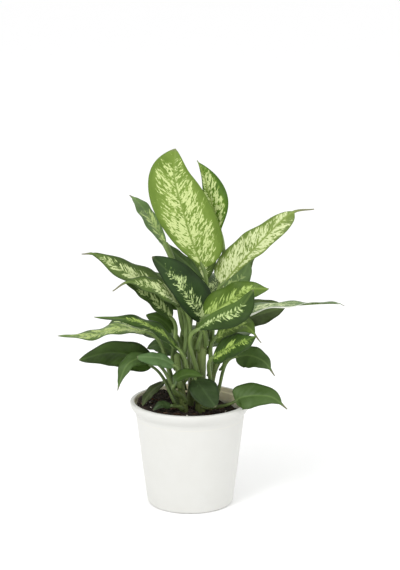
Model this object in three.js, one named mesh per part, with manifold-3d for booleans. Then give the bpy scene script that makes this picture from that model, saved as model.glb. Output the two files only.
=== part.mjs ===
// A potted dieffenbachia: a thin plastic nursery pot, potting soil, five short
// canes and thirty-eight variegated leaves, each a stalk and a blade in one piece.
//
// Frame: millimetres, +Z up, origin at the middle of the pot's flat underside.
// The plant is seen from -Y, with +X to the right.

import * as THREE from "three";
import { mergeVertices } from "three/addons/utils/BufferGeometryUtils.js";
import Module from "manifold-3d";

const wasm = await Module();
wasm.setup();

// ---------------------------------------------------------------- sizes (mm)

const GAP = 0.3; // clearance between neighbouring pieces

const POT = {
  height: 105,
  baseRadius: 43,
  baseRound: 2.5,
  wall: 1.6,
  floor: 2.4,
  neckRadius: 54.4, // outer wall where the lip starts to flare
  lipDepth: 12, // from the rim's top down to the neck
  rimRadius: 60,
  rimRound: 1.8,
  mouthRadius: 55.6, // inner edge of the rim's top face
  mouthRound: 0.6,
  stepDepth: 4.4, // ledge below the mouth, inside the lip
  stepRadius: 54.6,
  stepWidth: 1,
  segments: 48,
  lipSteps: 4,
};

const SOIL = {
  depth: 9.5, // mean depth of the surface below the rim
  slope: 0.15, // falls this much per mm towards +X
  heap: { x: -22, y: 30, height: 2.8, spread: 18 },
  lump: 0.9, // height of the crumbs
  radius: 50, // where the height of its edge is read
  rings: 6,
  innermost: 0.02, // the smallest ring, as a share of the largest
};

const CANE = {
  sides: 10,
  nodeSpacing: 13, // distance between the ring scars
  scarSwell: 0.2,
  tipHeight: 1.6,
  tipShare: 0.5, // the blunt tip's radius, as a share of the cane's
  buried: 26, // length below the lowest point of its route
  holeGap: 0.5, // clearance in the soil
};

const BLADE = {
  edge: 0.7, // thickness at the margin
  body: 0.9, // thickness half way across
  rib: 1.1, // thickness on the midrib at the tip
  across: [-1, -0.5, 0, 0.5, 1],
  along: [0, 0.035, 0.11, 0.22, 0.35, 0.5, 0.65, 0.79, 0.9, 0.96, 1],
  stalkSteps: 5,
  tip: 0.7, // half width of the pointed end
  curl: 0.1, // how far the margins bend down, as a share of the half width
};

// Each cane: its route from the soil up, and its radius at foot and top.
const CANES = {
  cane_main: { route: [[10, -4, 92], [11, -3, 150], [13, -2, 176]], radius: [5.4, 4.6] },
  cane_middle: { route: [[-1, 9, 92], [3, 10, 129], [4, 10, 166]], radius: [4.4, 3.6] },
  cane_left: { route: [[-5, -12, 92], [-10, -13, 128], [-13, -12, 154]], radius: [4.2, 3.2] },
  cane_right: { route: [[18, 5, 90], [22, 5, 128], [30, 5, 148]], radius: [4.2, 3.2] },
  cane_back: { route: [[2, 27, 92], [1, 29, 130], [-1, 31, 160]], radius: [4.6, 3.6] },
};

// Each leaf: the cane and height its stalk leaves from, the midrib's route from
// the blade's foot to its tip, the blade's half width, the way its upper side
// faces at the foot and at the tip, and the powers that shape its outline.
// fold lifts both halves (degrees), wave is the margin's ripple, drip the share
// of the route that is the thin end, stalk the stalk's radius at the blade, and
// splay how far the stalk leans out where it leaves the cane.
const LEAVES = [
  {
    name: "leaf_crown", tone: "pale", cane: "cane_main", node: 170, azimuth: 110,
    rib: [[13, -8, 240], [2, -11, 268], [-7, -12, 299], [-15, -7, 329], [-14, 2, 356]],
    half: [27.5, 30], face: [0, -1, 0.3], shape: [[1.15, 0.72], [0.35, 0.86]], fold: 8, wave: 1.5,
  },
  {
    name: "leaf_crown_behind", tone: "pale", cane: "cane_main", node: 160, azimuth: 70,
    rib: [[30, 5, 272], [25, 7, 289], [20, 10, 305], [15, 14, 323], [10, 18, 336], [7, 20, 342]],
    half: [7, 17.5], face: [-0.2, -0.95, 0.25], shape: [[0.9, 2.3], [1.5, 2.3]], fold: 10, wave: 1,
  },
  {
    name: "leaf_upper_left", tone: "bright", cane: "cane_middle", node: 160, azimuth: 180,
    rib: [[-24, 2, 262], [-34, 5, 279], [-43, 7, 293], [-51, 9, 303], [-59, 12, 309]],
    half: [11.5, 8.5], face: [0.6, -0.6, 0.5], shape: [0.6, 0.8], fold: 14, wave: 1, drip: 0.08, stalk: 3.2,
  },
  {
    name: "leaf_upper_inner", tone: "plain", cane: "cane_middle", node: 150, azimuth: 60,
    rib: [[13, 17, 221], [-2, 16, 239], [-15, 15, 251], [-27, 15, 263]],
    half: [7, 6], face: [0.4, -0.75, 0.5], shape: [0.5, 0.8], fold: 8, wave: 0.8,
  },
  {
    name: "leaf_upper_right", tone: "pale", cane: "cane_main", node: 152, azimuth: 30,
    rib: [[31, -6, 223], [53, -14, 251], [73, -20, 274], [97, -22, 297], [119, -22, 301]],
    half: [21.5, 12], face: [-0.4, -0.8, 0.4], shape: [[0.22, 0.82], [1.2, 0.4]], fold: 8,
    wave: 1.5, drip: 0.22,
  },
  {
    name: "leaf_right_back", tone: "bright", cane: "cane_back", node: 156, azimuth: 328,
    rib: [[36, 28, 209], [46, 32, 217], [54, 36, 226], [59, 40, 238]],
    half: 12, face: [-0.3, -0.7, 0.6], shape: [0.55, 0.9], fold: 10, wave: 1,
  },
  {
    name: "leaf_left_upper", tone: "bright", cane: "cane_left", node: 150, azimuth: 20,
    rib: [[-15, -8, 207], [-40, -16, 225], [-64, -22, 241], [-89, -26, 257], [-104, -26, 258]],
    half: [12, 19], face: [0.4, -0.57, 0.7], shape: [[1.5, 1.3], [0.5, 1.3]], fold: 8,
    wave: 1.5, drip: 0.15,
  },
  {
    name: "leaf_left_front", tone: "bright", cane: "cane_main", node: 140, azimuth: 215,
    rib: [[-9, -22, 207], [-25, -34, 222], [-43, -44, 231], [-59, -52, 236], [-73, -56, 228]],
    half: [9, 15], face: [0.25, -0.6, 0.75], shape: [0.4, 1], fold: 8, wave: 1.5, drip: 0.22,
  },
  {
    name: "leaf_left_under", tone: "deep", cane: "cane_left", node: 138, azimuth: 130,
    rib: [[-18, -4, 189], [-31, -9, 204], [-47, -14, 218], [-62, -20, 228]],
    half: [7, 13], face: [0.35, -0.75, 0.55], shape: [0.5, 0.9], fold: 8, wave: 1.5,
  },
  {
    name: "leaf_dark_centre", tone: "deep", cane: "cane_main", node: 156, azimuth: 240,
    rib: [[13, -15, 189], [1, -25, 212], [-17, -32, 238], [-36, -34, 257]],
    half: [12, 22], face: [0.25, -0.9, 0.35], shape: [[0.5, 0.7], [0.35, 0.75]], fold: 8, wave: 1,
  },
  {
    name: "leaf_bright_right", tone: "bright", cane: "cane_main", node: 160, azimuth: 300,
    rib: [[15, -34, 198], [36, -42, 214], [55, -50, 228], [75, -54, 230]],
    half: [18, 16], face: [-0.3, -0.75, 0.6], shape: [[0.3, 1.1], [0.4, 0.8]], fold: 8, wave: 1.5,
  },
  {
    name: "leaf_front_dark", tone: "deep", cane: "cane_main", node: 130, azimuth: 250,
    rib: [[6, -36, 185], [27, -50, 200], [47, -62, 213], [60, -68, 232]],
    half: [8, 14], face: [0.2, -0.85, 0.5], shape: [[0.55, 0.7], [1.2, 1]], fold: 8, wave: 1,
  },
  {
    name: "leaf_long_right", tone: "bright", cane: "cane_right", node: 136, azimuth: 350,
    rib: [[42, 4, 190], [73, -3, 201], [107, -12, 206], [140, -20, 209], [150, -22, 206]],
    half: 15, face: [0, -0.25, 1], faceTip: [0, 0.35, 1], shape: [0.4, 1.6], fold: 5,
    wave: 1.5, drip: 0.12,
  },
  {
    name: "leaf_right_under", tone: "deep", cane: "cane_right", node: 128, azimuth: 80,
    rib: [[47, 16, 181], [63, 22, 185], [80, 28, 189], [96, 32, 193]],
    half: [17, 12], face: [0.1, -0.75, 0.65], shape: [0.5, 0.8], fold: 8, wave: 1,
  },
  {
    name: "leaf_right_mid", tone: "bright", cane: "cane_main", node: 130, azimuth: 8,
    rib: [[25, -12, 171], [40, -20, 183], [55, -28, 187], [69, -34, 172]],
    half: 16, face: [0, -0.5, 0.85], faceTip: [0.5, -0.5, 0.6], shape: [0.5, 0.75], fold: 8,
    wave: 1, drip: 0.15,
  },
  {
    name: "leaf_right_front", tone: "bright", cane: "cane_main", node: 112, azimuth: 335,
    rib: [[22, -34, 157], [37, -51, 172], [51, -64, 181], [63, -70, 188]],
    half: [14, 15], face: [-0.1, -0.7, 0.7], shape: [[0.6, 1.5], [0.5, 0.8]], fold: 8, wave: 1,
  },
  {
    name: "leaf_right_low", tone: "plain", cane: "cane_right", node: 106, azimuth: 330,
    rib: [[45, -8, 151], [59, -14, 154], [73, -20, 149], [83, -24, 136]],
    half: [11, 14], face: [0.1, -0.75, 0.6], faceTip: [0.5, -0.7, 0.5], shape: [0.5, 0.75], fold: 6,
    wave: 1, drip: 0.15,
  },
  {
    name: "leaf_over_rim", tone: "plain", cane: "cane_main", node: 100, azimuth: 290,
    rib: [[44, -30, 112], [50, -33, 117], [63, -37, 120], [80, -44, 120], [94, -50, 110]],
    half: 14, face: [0.1, -0.75, 0.65], shape: [0.5, 0.75], fold: 6, wave: 0.8,
    drip: 0.1, stalk: 1.4, splay: 5,
  },
  {
    name: "leaf_front_low", tone: "deep", cane: "cane_main", node: 104, azimuth: 250,
    rib: [[5, -20, 132], [10, -33, 129], [17, -42, 121], [25, -49, 112]],
    half: [15, 13], face: [0.1, -0.7, 0.7], shape: [[0.5, 0.65], [0.65, 0.65]], fold: 4, wave: 0.6,
  },
  {
    name: "leaf_left_low", tone: "deep", cane: "cane_left", node: 102, azimuth: 192,
    rib: [[-38, 0, 139], [-57, 4, 149], [-82, 8, 151], [-111, 10, 143]],
    half: [19, 17], face: [0.1, -0.6, 0.8], shape: [0.5, 0.8], fold: 6, wave: 1,
  },
  {
    name: "leaf_left_arch", tone: "plain", cane: "cane_left", node: 113, azimuth: 222,
    rib: [[-39, -27, 152], [-51, -30, 155], [-61, -35, 150], [-67, -40, 138], [-70, -44, 127]],
    half: [8, 9], face: [0, -0.6, 0.8], faceTip: [-0.7, -0.5, 0.4], shape: [0.5, 0.8], fold: 8,
    wave: 1, drip: 0.1,
  },
  {
    name: "leaf_left_pale", tone: "plain", cane: "cane_left", node: 121, azimuth: 268,
    rib: [[-15, -26, 147], [-26, -32, 155], [-37, -36, 158], [-51, -38, 159]],
    half: [9, 6], face: [0.1, -0.75, 0.65], shape: [[0.45, 0.55], [0.5, 0.6]], fold: 6, wave: 0.8,
  },
  {
    name: "leaf_left_long", tone: "bright", cane: "cane_left", node: 120, azimuth: 150,
    rib: [[-43, -4, 175], [-70, -10, 181], [-98, -16, 175], [-129, -22, 176]],
    half: 15, face: [0, -0.1, 1], shape: [0.5, 0.9], fold: 5, wave: 1.5,
  },
  {
    name: "leaf_left_behind", tone: "deep", cane: "cane_back", node: 126, azimuth: 200,
    rib: [[-38, 28, 168], [-57, 32, 174], [-75, 36, 174], [-89, 38, 162]],
    half: 13, face: [0, -0.4, 0.9], shape: [0.5, 0.9], fold: 6, wave: 1,
  },
  {
    name: "leaf_left_mid", tone: "bright", cane: "cane_left", node: 126, azimuth: 330,
    rib: [[-11, -24, 163], [-29, -34, 183], [-55, -44, 197], [-91, -52, 202]],
    half: [11, 15], face: [0.3, -0.3, 0.9], shape: [[0.5, 0.9], [0.35, 1.2]], fold: 6, wave: 1.5,
  },
  {
    name: "leaf_left_shaded", tone: "deep", cane: "cane_middle", node: 124, azimuth: 150,
    rib: [[-17, 12, 172], [-25, 13, 181], [-33, 14, 186], [-44, 15, 188]],
    half: [13, 8], face: [0, -0.7, 0.7], shape: [0.5, 0.8], fold: 6, wave: 0.6,
  },
  {
    name: "leaf_left_inner", tone: "plain", cane: "cane_middle", node: 112, azimuth: 200,
    rib: [[-14, 4, 152], [-24, 7, 156], [-34, 9, 159], [-43, 10, 155]],
    half: 10, face: [0, -0.5, 0.85], shape: [0.5, 0.8], fold: 6, wave: 0.6,
  },
  {
    name: "leaf_front_small", tone: "deep", cane: "cane_left", node: 106, azimuth: 292,
    rib: [[-16, -35, 129], [-12, -40, 138], [-1, -44, 143], [13, -46, 142]],
    half: [9, 5], face: [-0.2, -0.6, 0.8], shape: [0.5, 0.8], fold: 6, wave: 0.5,
  },
  {
    name: "leaf_pot_left", tone: "plain", cane: "cane_left", node: 102, azimuth: 140,
    rib: [[-26, 2, 123], [-36, -6, 118], [-43, -12, 111], [-47, -18, 104]],
    half: 6.5, face: [-0.4, -0.6, 0.7], shape: [0.5, 0.8], fold: 6, wave: 0.5,
  },
  {
    name: "leaf_pot_front", tone: "deep", cane: "cane_left", node: 100, azimuth: 255,
    rib: [[-18, -25, 106], [-24, -28, 108], [-29, -31, 109], [-36, -33, 104]],
    half: 5.5, face: [0, -0.6, 0.8], shape: [0.5, 0.7], fold: 5, wave: 0.4,
  },
  {
    name: "leaf_back_left", tone: "deep", cane: "cane_back", node: 140, azimuth: 127,
    rib: [[-10, 46, 186], [-20, 66, 200], [-30, 90, 206], [-38, 118, 200]],
    half: 20, face: [0, -0.2, 1], shape: [0.5, 0.8], fold: 8, wave: 1.5,
  },
  {
    name: "leaf_back_right", tone: "deep", cane: "cane_back", node: 136, azimuth: 60,
    rib: [[14, 46, 192], [26, 68, 206], [36, 92, 212], [44, 118, 206]],
    half: 20, face: [0, -0.2, 1], shape: [0.5, 0.8], fold: 8, wave: 1.5,
  },
  {
    name: "leaf_back_high", tone: "bright", cane: "cane_back", node: 158, azimuth: 90,
    rib: [[8, 44, 214], [12, 54, 238], [12, 70, 258], [8, 92, 270]],
    half: 15, face: [0, -0.8, 0.6], shape: [0.5, 0.8], fold: 8, wave: 1.5,
  },
  {
    name: "leaf_back_low", tone: "deep", cane: "cane_back", node: 112, azimuth: 95,
    rib: [[6, 52, 148], [8, 72, 158], [8, 94, 158], [6, 116, 148]],
    half: 17, face: [0, -0.1, 1], shape: [0.5, 0.8], fold: 8, wave: 1,
  },
  {
    name: "leaf_back_upper_left", tone: "bright", cane: "cane_back", node: 150, azimuth: 172,
    rib: [[-4, 42, 194], [-23, 62, 205], [-44, 82, 212], [-67, 100, 213]],
    half: 18, face: [0.2, -0.3, 0.9], shape: [0.5, 0.85], fold: 8, wave: 1.5,
  },
  {
    name: "leaf_back_upper_right", tone: "bright", cane: "cane_back", node: 150, azimuth: 15,
    rib: [[32, 40, 206], [44, 56, 221], [55, 72, 232], [64, 86, 238]],
    half: 14, face: [-0.3, -0.6, 0.75], shape: [0.5, 0.8], fold: 8, wave: 1.5,
  },
  {
    name: "leaf_back_low_right", tone: "plain", cane: "cane_back", node: 116, azimuth: 45,
    rib: [[22, 44, 149], [39, 62, 154], [53, 80, 155], [66, 96, 151]],
    half: 15, face: [0, -0.15, 1], shape: [0.5, 0.8], fold: 6, wave: 1,
  },
  {
    name: "leaf_back_low_left", tone: "plain", cane: "cane_back", node: 118, azimuth: 155,
    rib: [[-15, 46, 152], [-33, 62, 159], [-53, 80, 159], [-73, 96, 156]],
    half: 16, face: [0, -0.15, 1], shape: [0.5, 0.8], fold: 6, wave: 1,
  },
];

// Each stalk's radius where it leaves the cane and at the blade, its splay from
// the cane, and how far it runs straight at either end (shares of its span).
const STALK = { foot: 2.6, neck: 1.9, splay: 0.35, rise: 0.4, approach: 0.32 };
const MIDRIB_FOOT = 1.6; // midrib's thickness at the blade's foot, in neck radii
const RIPPLES = 3; // waves along each margin

const COLOURS = {
  pot: { color: 0xe6e6e2, roughness: 0.45, metalness: 0 },
  soil: { color: 0x2c221c, roughness: 0.95, metalness: 0 },
  cane: { color: 0x6e8748, roughness: 0.55, metalness: 0 },
  pale: { color: 0xb4c27f, roughness: 0.42, metalness: 0 },
  bright: { color: 0x879b5c, roughness: 0.42, metalness: 0 },
  deep: { color: 0x51623a, roughness: 0.38, metalness: 0 },
  plain: { color: 0x5b6c46, roughness: 0.4, metalness: 0 },
};

// ------------------------------------------------------------------- helpers

const vector = (point) => new THREE.Vector3(...point);
const radians = (degrees) => (degrees * Math.PI) / 180;

function curveThrough(points) {
  return new THREE.CatmullRomCurve3(points.map(vector), false, "catmullrom", 0.5);
}

// A closed skin over rings of equal point count, with a fan at either end. The
// second half of each ring is split the other way, so that the two faces of a
// thin blade are split alike.
function skin(rings) {
  const count = rings[0].length;
  const positions = rings.flat().flatMap((point) => point.toArray());
  const triangles = [];
  for (let i = 0; i + 1 < rings.length; i += 1) {
    for (let j = 0; j < count; j += 1) {
      const a = i * count + j;
      const b = i * count + ((j + 1) % count);
      if (j < count / 2) triangles.push(a, b, b + count, a, b + count, a + count);
      else triangles.push(a, b, a + count, b, b + count, a + count);
    }
  }
  const last = (rings.length - 1) * count;
  for (let j = 1; j + 1 < count; j += 1) {
    triangles.push(0, j + 1, j);
    triangles.push(last, last + j, last + j + 1);
  }
  const geometry = new THREE.BufferGeometry();
  geometry.setAttribute("position", new THREE.Float32BufferAttribute(positions, 3));
  geometry.setIndex(triangles);
  return geometry;
}

function toSolid(geometry) {
  const bare = geometry.clone();
  bare.deleteAttribute("normal");
  bare.deleteAttribute("uv");
  const merged = mergeVertices(bare);
  return new wasm.Manifold(new wasm.Mesh({
    numProp: 3,
    vertProperties: merged.attributes.position.array,
    triVerts: new Uint32Array(merged.index.array),
  }));
}

function fromSolid(solid) {
  const mesh = solid.getMesh();
  const geometry = new THREE.BufferGeometry();
  geometry.setAttribute("position", new THREE.BufferAttribute(mesh.vertProperties, 3));
  geometry.setIndex(new THREE.BufferAttribute(mesh.triVerts, 1));
  return geometry;
}

// ----------------------------------------------------------------------- pot

// Outer radius of the straight wall at height z.
function wallRadius(z) {
  const neck = POT.height - POT.lipDepth;
  return POT.baseRadius + ((POT.neckRadius - POT.baseRadius) * z) / neck;
}

function potGeometry() {
  const neck = POT.height - POT.lipDepth;
  const ledge = POT.height - POT.stepDepth;
  const flare = POT.rimRadius - POT.neckRadius;
  const profile = [[0, 0], [POT.baseRadius - POT.baseRound, 0], [POT.baseRadius, POT.baseRound]];
  for (let i = 0; i <= POT.lipSteps; i += 1) {
    const share = i / POT.lipSteps;
    const rise = (POT.lipDepth - POT.rimRound) * share;
    profile.push([POT.neckRadius + flare * Math.sin((share * Math.PI) / 2), neck + rise]);
  }
  const corner = POT.rimRound * (1 - Math.SQRT1_2);
  profile.push([POT.rimRadius - corner, POT.height - corner]);
  profile.push([POT.rimRadius - POT.rimRound, POT.height]);
  profile.push([POT.mouthRadius + POT.mouthRound, POT.height]);
  profile.push([POT.mouthRadius, POT.height - POT.mouthRound]);
  profile.push([POT.stepRadius, ledge]);
  profile.push([POT.stepRadius - POT.stepWidth, ledge - POT.mouthRound]);
  profile.push([wallRadius(neck) - POT.wall, neck]);
  profile.push([wallRadius(POT.floor) - POT.wall, POT.floor], [0, POT.floor]);
  const points = profile.map(([radius, z]) => new THREE.Vector2(radius, z));
  const geometry = new THREE.LatheGeometry(points, POT.segments);
  geometry.rotateX(Math.PI / 2);
  return geometry;
}

// ---------------------------------------------------------------------- soil

function soilHeight(x, y) {
  const { heap } = SOIL;
  const away = ((x - heap.x) ** 2 + (y - heap.y) ** 2) / (2 * heap.spread ** 2);
  const crumbs = Math.sin(0.55 * x + 1.3 * Math.sin(0.3 * y)) * Math.cos(0.5 * y - 0.21 * x)
    + 0.5 * Math.sin(0.9 * y + 0.7 * x);
  const sunk = SOIL.depth + SOIL.slope * x - heap.height * Math.exp(-away);
  return POT.height - sunk + SOIL.lump * crumbs;
}

function soilGeometry() {
  const floor = POT.floor + GAP;
  const neck = POT.height - POT.lipDepth;
  const inside = (z) => wallRadius(Math.min(z, neck)) - POT.wall - GAP;
  const rings = [];
  for (let i = 0; i <= SOIL.rings + 1; i += 1) {
    const ring = [];
    for (let j = 0; j < POT.segments; j += 1) {
      const angle = (2 * Math.PI * j) / POT.segments;
      const aim = new THREE.Vector2(Math.cos(angle), Math.sin(angle));
      const edge = soilHeight(SOIL.radius * aim.x, SOIL.radius * aim.y);
      const share = Math.max(1 - (i - 1) / SOIL.rings, SOIL.innermost);
      const radius = i === 0 ? inside(floor) : inside(edge) * share;
      const surface = soilHeight(radius * aim.x, radius * aim.y);
      const z = [floor, edge][i] ?? surface;
      ring.push(new THREE.Vector3(radius * aim.x, radius * aim.y, z));
    }
    rings.push(ring);
  }
  return skin(rings);
}

// --------------------------------------------------------------------- canes

function caneCurve({ route }) {
  const foot = vector(route[0]);
  foot.z -= CANE.buried;
  return curveThrough([foot.toArray(), ...route]);
}

function caneRing(centre, axis, radius) {
  const east = new THREE.Vector3(0, 1, 0).cross(axis).normalize();
  const north = axis.clone().cross(east);
  const ring = [];
  for (let i = 0; i < CANE.sides; i += 1) {
    const angle = (2 * Math.PI * i) / CANE.sides;
    ring.push(centre.clone()
      .addScaledVector(east, radius * Math.cos(angle))
      .addScaledVector(north, radius * Math.sin(angle)));
  }
  return ring;
}

// grow widens the cane on every side, for the hole that it stands in.
function caneGeometry(cane, grow = 0) {
  const [footRadius, topRadius] = cane.radius;
  const curve = caneCurve(cane);
  const steps = Math.round(curve.getLength() / (CANE.nodeSpacing / 2));
  const rings = [];
  for (let i = 0; i <= steps; i += 1) {
    const share = i / steps;
    const scar = i % 2 === 1 ? CANE.scarSwell : 0;
    const radius = THREE.MathUtils.lerp(footRadius, topRadius, share) + scar + grow;
    rings.push(caneRing(curve.getPoint(share), curve.getTangent(share), radius));
  }
  const axis = curve.getTangent(1);
  const bottom = curve.getPoint(0).addScaledVector(curve.getTangent(0), -grow);
  const tip = curve.getPoint(1).addScaledVector(axis, CANE.tipHeight);
  rings[0] = caneRing(bottom, curve.getTangent(0), footRadius + grow);
  rings.push(caneRing(tip, axis, CANE.tipShare * topRadius + grow));
  return skin(rings);
}

// The cane's middle, direction and radius at height z.
function caneAt(cane, z) {
  const curve = caneCurve(cane);
  let low = 0;
  let high = 1;
  while (high - low > 1e-6) {
    const middle = (low + high) / 2;
    if (curve.getPoint(middle).z < z) low = middle;
    else high = middle;
  }
  const size = THREE.MathUtils.lerp(cane.radius[0], cane.radius[1], low);
  return { centre: curve.getPoint(low), axis: curve.getTangent(low), size };
}

// -------------------------------------------------------------------- leaves

// Half width of one side of the blade at share s of its length.
function outline(s, half, [foot, end]) {
  const widest = foot / (foot + end);
  const peak = widest ** foot * (1 - widest) ** end;
  return (half * s ** foot * (1 - s) ** end) / peak;
}

function stalkCurve(leaf, blade) {
  const { splay = STALK.splay } = leaf;
  const { centre, axis, size } = caneAt(CANES[leaf.cane], leaf.node);
  const turn = radians(leaf.azimuth);
  const out = new THREE.Vector3(Math.cos(turn), Math.sin(turn), 0);
  out.addScaledVector(axis, -out.dot(axis)).normalize();
  // The more a stalk leans out, the nearer the middle of its end comes to the cane.
  const reach = STALK.foot / Math.hypot(1, splay - STALK.splay);
  const start = centre.addScaledVector(out, size + reach + GAP);
  const end = blade.getPoint(0);
  const span = start.distanceTo(end);
  const rise = axis.addScaledVector(out, splay).setLength(span * STALK.rise);
  const approach = blade.getTangent(0).multiplyScalar(span * STALK.approach);
  return new THREE.CubicBezierCurve3(
    start,
    start.clone().add(rise),
    end.clone().sub(approach),
    end,
  );
}

// A ring of the leaf: upper points from one margin to the other, then the lower
// ones back. A stalk has no section of its own, and is round.
function leafRing(curve, share, face, radius, section) {
  const centre = curve.getPoint(share);
  const tangent = curve.getTangent(share);
  const up = face.clone().addScaledVector(tangent, -face.dot(tangent)).normalize();
  const side = tangent.clone().cross(up);
  const count = BLADE.across.length;
  const upper = [];
  const lower = [];
  BLADE.across.forEach((across, j) => {
    const angle = Math.PI * (1 - (j + 0.5) / count);
    const round = {
      x: radius * Math.cos(angle),
      y: radius * Math.sin(angle),
      thick: 2 * radius * Math.sin(angle),
    };
    const { x, y, thick } = section ? section(across) : round;
    const middle = centre.clone().addScaledVector(side, x);
    upper.push(middle.clone().addScaledVector(up, y));
    lower.unshift(middle.addScaledVector(up, y - thick));
  });
  return [...upper, ...lower];
}

// The blade's section at share s of its route: place and thickness by share across.
function bladeSection(leaf, s) {
  const { fold, wave, drip = 0, stalk: neck = STALK.neck } = leaf;
  const half = [leaf.half].flat();
  const shape = Array.isArray(leaf.shape[0]) ? leaf.shape : [leaf.shape];
  const inBlade = Math.min(s / (1 - drip), 1);
  const ripple = wave * Math.sin(Math.PI * inBlade);
  return (across) => {
    const plus = across > 0 ? 1 : 0;
    const reach = outline(inBlade, half[plus] ?? half[0], shape[plus] ?? shape[0]);
    const width = Math.max(reach, BLADE.tip);
    const away = Math.abs(across);
    const sway = Math.sin(2 * Math.PI * (RIPPLES * inBlade + 0.25 * Math.sign(across)));
    const lift = width * (away * Math.tan(radians(fold)) - BLADE.curl * away * away);
    const near = away === 0 ? MIDRIB_FOOT * neck : BLADE.body;
    const far = away === 0 ? BLADE.rib : BLADE.body;
    const thick = away === 1 ? BLADE.edge : THREE.MathUtils.lerp(near, far, s);
    return { x: across * width, y: lift + ripple * sway * away * away, thick };
  };
}

function leafGeometry(leaf) {
  const blade = curveThrough(leaf.rib);
  const stalk = stalkCurve(leaf, blade);
  const { drip = 0, stalk: neck = STALK.neck } = leaf;
  const faceFoot = vector(leaf.face).normalize();
  const faceTip = vector(leaf.faceTip ?? leaf.face).normalize();
  const rings = [];
  for (let i = 0; i < BLADE.stalkSteps; i += 1) {
    const share = i / BLADE.stalkSteps;
    const radius = THREE.MathUtils.lerp(STALK.foot, neck, share);
    rings.push(leafRing(stalk, share, faceFoot, radius));
  }
  const stations = BLADE.along.map((s) => s * (1 - drip));
  if (drip > 0) stations.push(1 - drip / 2, 1);
  stations.forEach((s, i) => {
    const face = faceFoot.clone().lerp(faceTip, s);
    const section = i === 0 ? null : bladeSection(leaf, s);
    rings.push(leafRing(blade, s, face, neck, section));
  });
  return skin(rings);
}

// --------------------------------------------------------------------- scene

const plant = new THREE.Group();

function addPiece(name, geometry, finish) {
  const mesh = new THREE.Mesh(geometry, new THREE.MeshStandardMaterial(finish));
  mesh.name = name;
  plant.add(mesh);
}

let soil = toSolid(soilGeometry());
for (const cane of Object.values(CANES)) {
  soil = soil.subtract(toSolid(caneGeometry(cane, CANE.holeGap)));
}

addPiece("pot", potGeometry(), COLOURS.pot);
addPiece("soil", fromSolid(soil), COLOURS.soil);
for (const [name, cane] of Object.entries(CANES)) {
  addPiece(name, caneGeometry(cane), COLOURS.cane);
}
for (const leaf of LEAVES) {
  addPiece(leaf.name, leafGeometry(leaf), COLOURS[leaf.tone]);
}

export default plant;
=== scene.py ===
"""A potted dieffenbachia: nursery pot, peat soil, short canes and flecked leaves.

Metres, +Z up, origin at the middle of the pot's flat underside. The plant is seen
from -Y with +X to the right. Tables of places and sizes are in millimetres.
"""
import logging
import math
import random
from dataclasses import dataclass
from enum import Enum
from typing import Iterable, Sequence

import bmesh
import bpy
from mathutils import Matrix, Vector, noise


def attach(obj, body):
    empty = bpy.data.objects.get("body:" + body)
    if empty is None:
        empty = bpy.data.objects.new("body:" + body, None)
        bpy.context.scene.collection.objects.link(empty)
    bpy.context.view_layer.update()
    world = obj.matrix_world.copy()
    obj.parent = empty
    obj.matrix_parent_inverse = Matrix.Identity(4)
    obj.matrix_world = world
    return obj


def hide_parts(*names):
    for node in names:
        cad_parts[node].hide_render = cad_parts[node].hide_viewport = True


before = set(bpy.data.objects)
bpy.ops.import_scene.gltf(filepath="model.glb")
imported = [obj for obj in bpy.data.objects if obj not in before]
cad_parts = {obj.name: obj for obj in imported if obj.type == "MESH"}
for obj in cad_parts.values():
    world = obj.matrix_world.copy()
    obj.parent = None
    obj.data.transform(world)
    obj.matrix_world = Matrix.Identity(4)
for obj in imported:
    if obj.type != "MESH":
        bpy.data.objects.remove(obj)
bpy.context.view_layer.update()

LOG = logging.getLogger("dieffenbachia")

MM = 0.001
GAP = 0.3  # mm, clearance between neighbouring pieces
SEAM = 2e-6  # metres, vertices nearer than this are one
BODY = "root"
RIB_MAP = "rib"  # UV map: metres along the midrib, metres out from it
SHARE_MAP = "share"  # UV map: share of the blade's length, share of its half width
UNDER = "under"  # attribute: 1 on the lower side of a leaf

Triple = tuple[float, float, float]
Pair = tuple[float, float]


def linear(hex_code: str) -> tuple[float, float, float, float]:
    """Turns an sRGB hex colour to the linear colour that a shader takes.

    Args:
        hex_code: six hex digits, such as "7FA560".

    Returns:
        Linear red, green, blue and an alpha of 1.
    """
    parts = [int(hex_code[i:i + 2], 16) / 255 for i in (0, 2, 4)]
    red, green, blue = [c / 12.92 if c <= 0.04045 else ((c + 0.055) / 1.055) ** 2.4 for c in parts]
    return red, green, blue, 1.0


def mix(a: float, b: float, share: float) -> float:
    """Goes from a to b as share goes from 0 to 1."""
    return a + (b - a) * share


def smooth(low: float, high: float, value: float) -> float:
    """Rises smoothly from 0 at low to 1 at high."""
    share = min(max((value - low) / (high - low), 0.0), 1.0)
    return share * share * (3 - 2 * share)


# ---------------------------------------------------------------- routes


class Route:
    """A smooth route with a point and a direction at each share of its length."""

    STEP = 1e-4

    def point(self, share: float) -> Vector:
        """Gives the place at that share."""
        raise NotImplementedError

    def tangent(self, share: float) -> Vector:
        """Gives the direction at that share.

        Args:
            share: how far along, from 0 to 1.

        Returns:
            The direction, of length 1.
        """
        low = max(share - self.STEP, 0.0)
        high = min(share + self.STEP, 1.0)
        return (self.point(high) - self.point(low)).normalized()

    def length(self, steps: int = 60) -> float:
        """Measures the route.

        Args:
            steps: the straight steps that it is measured in.

        Returns:
            The length in metres.
        """
        places = [self.point(i / steps) for i in range(steps + 1)]
        return sum((b - a).length for a, b in zip(places, places[1:]))


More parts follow.
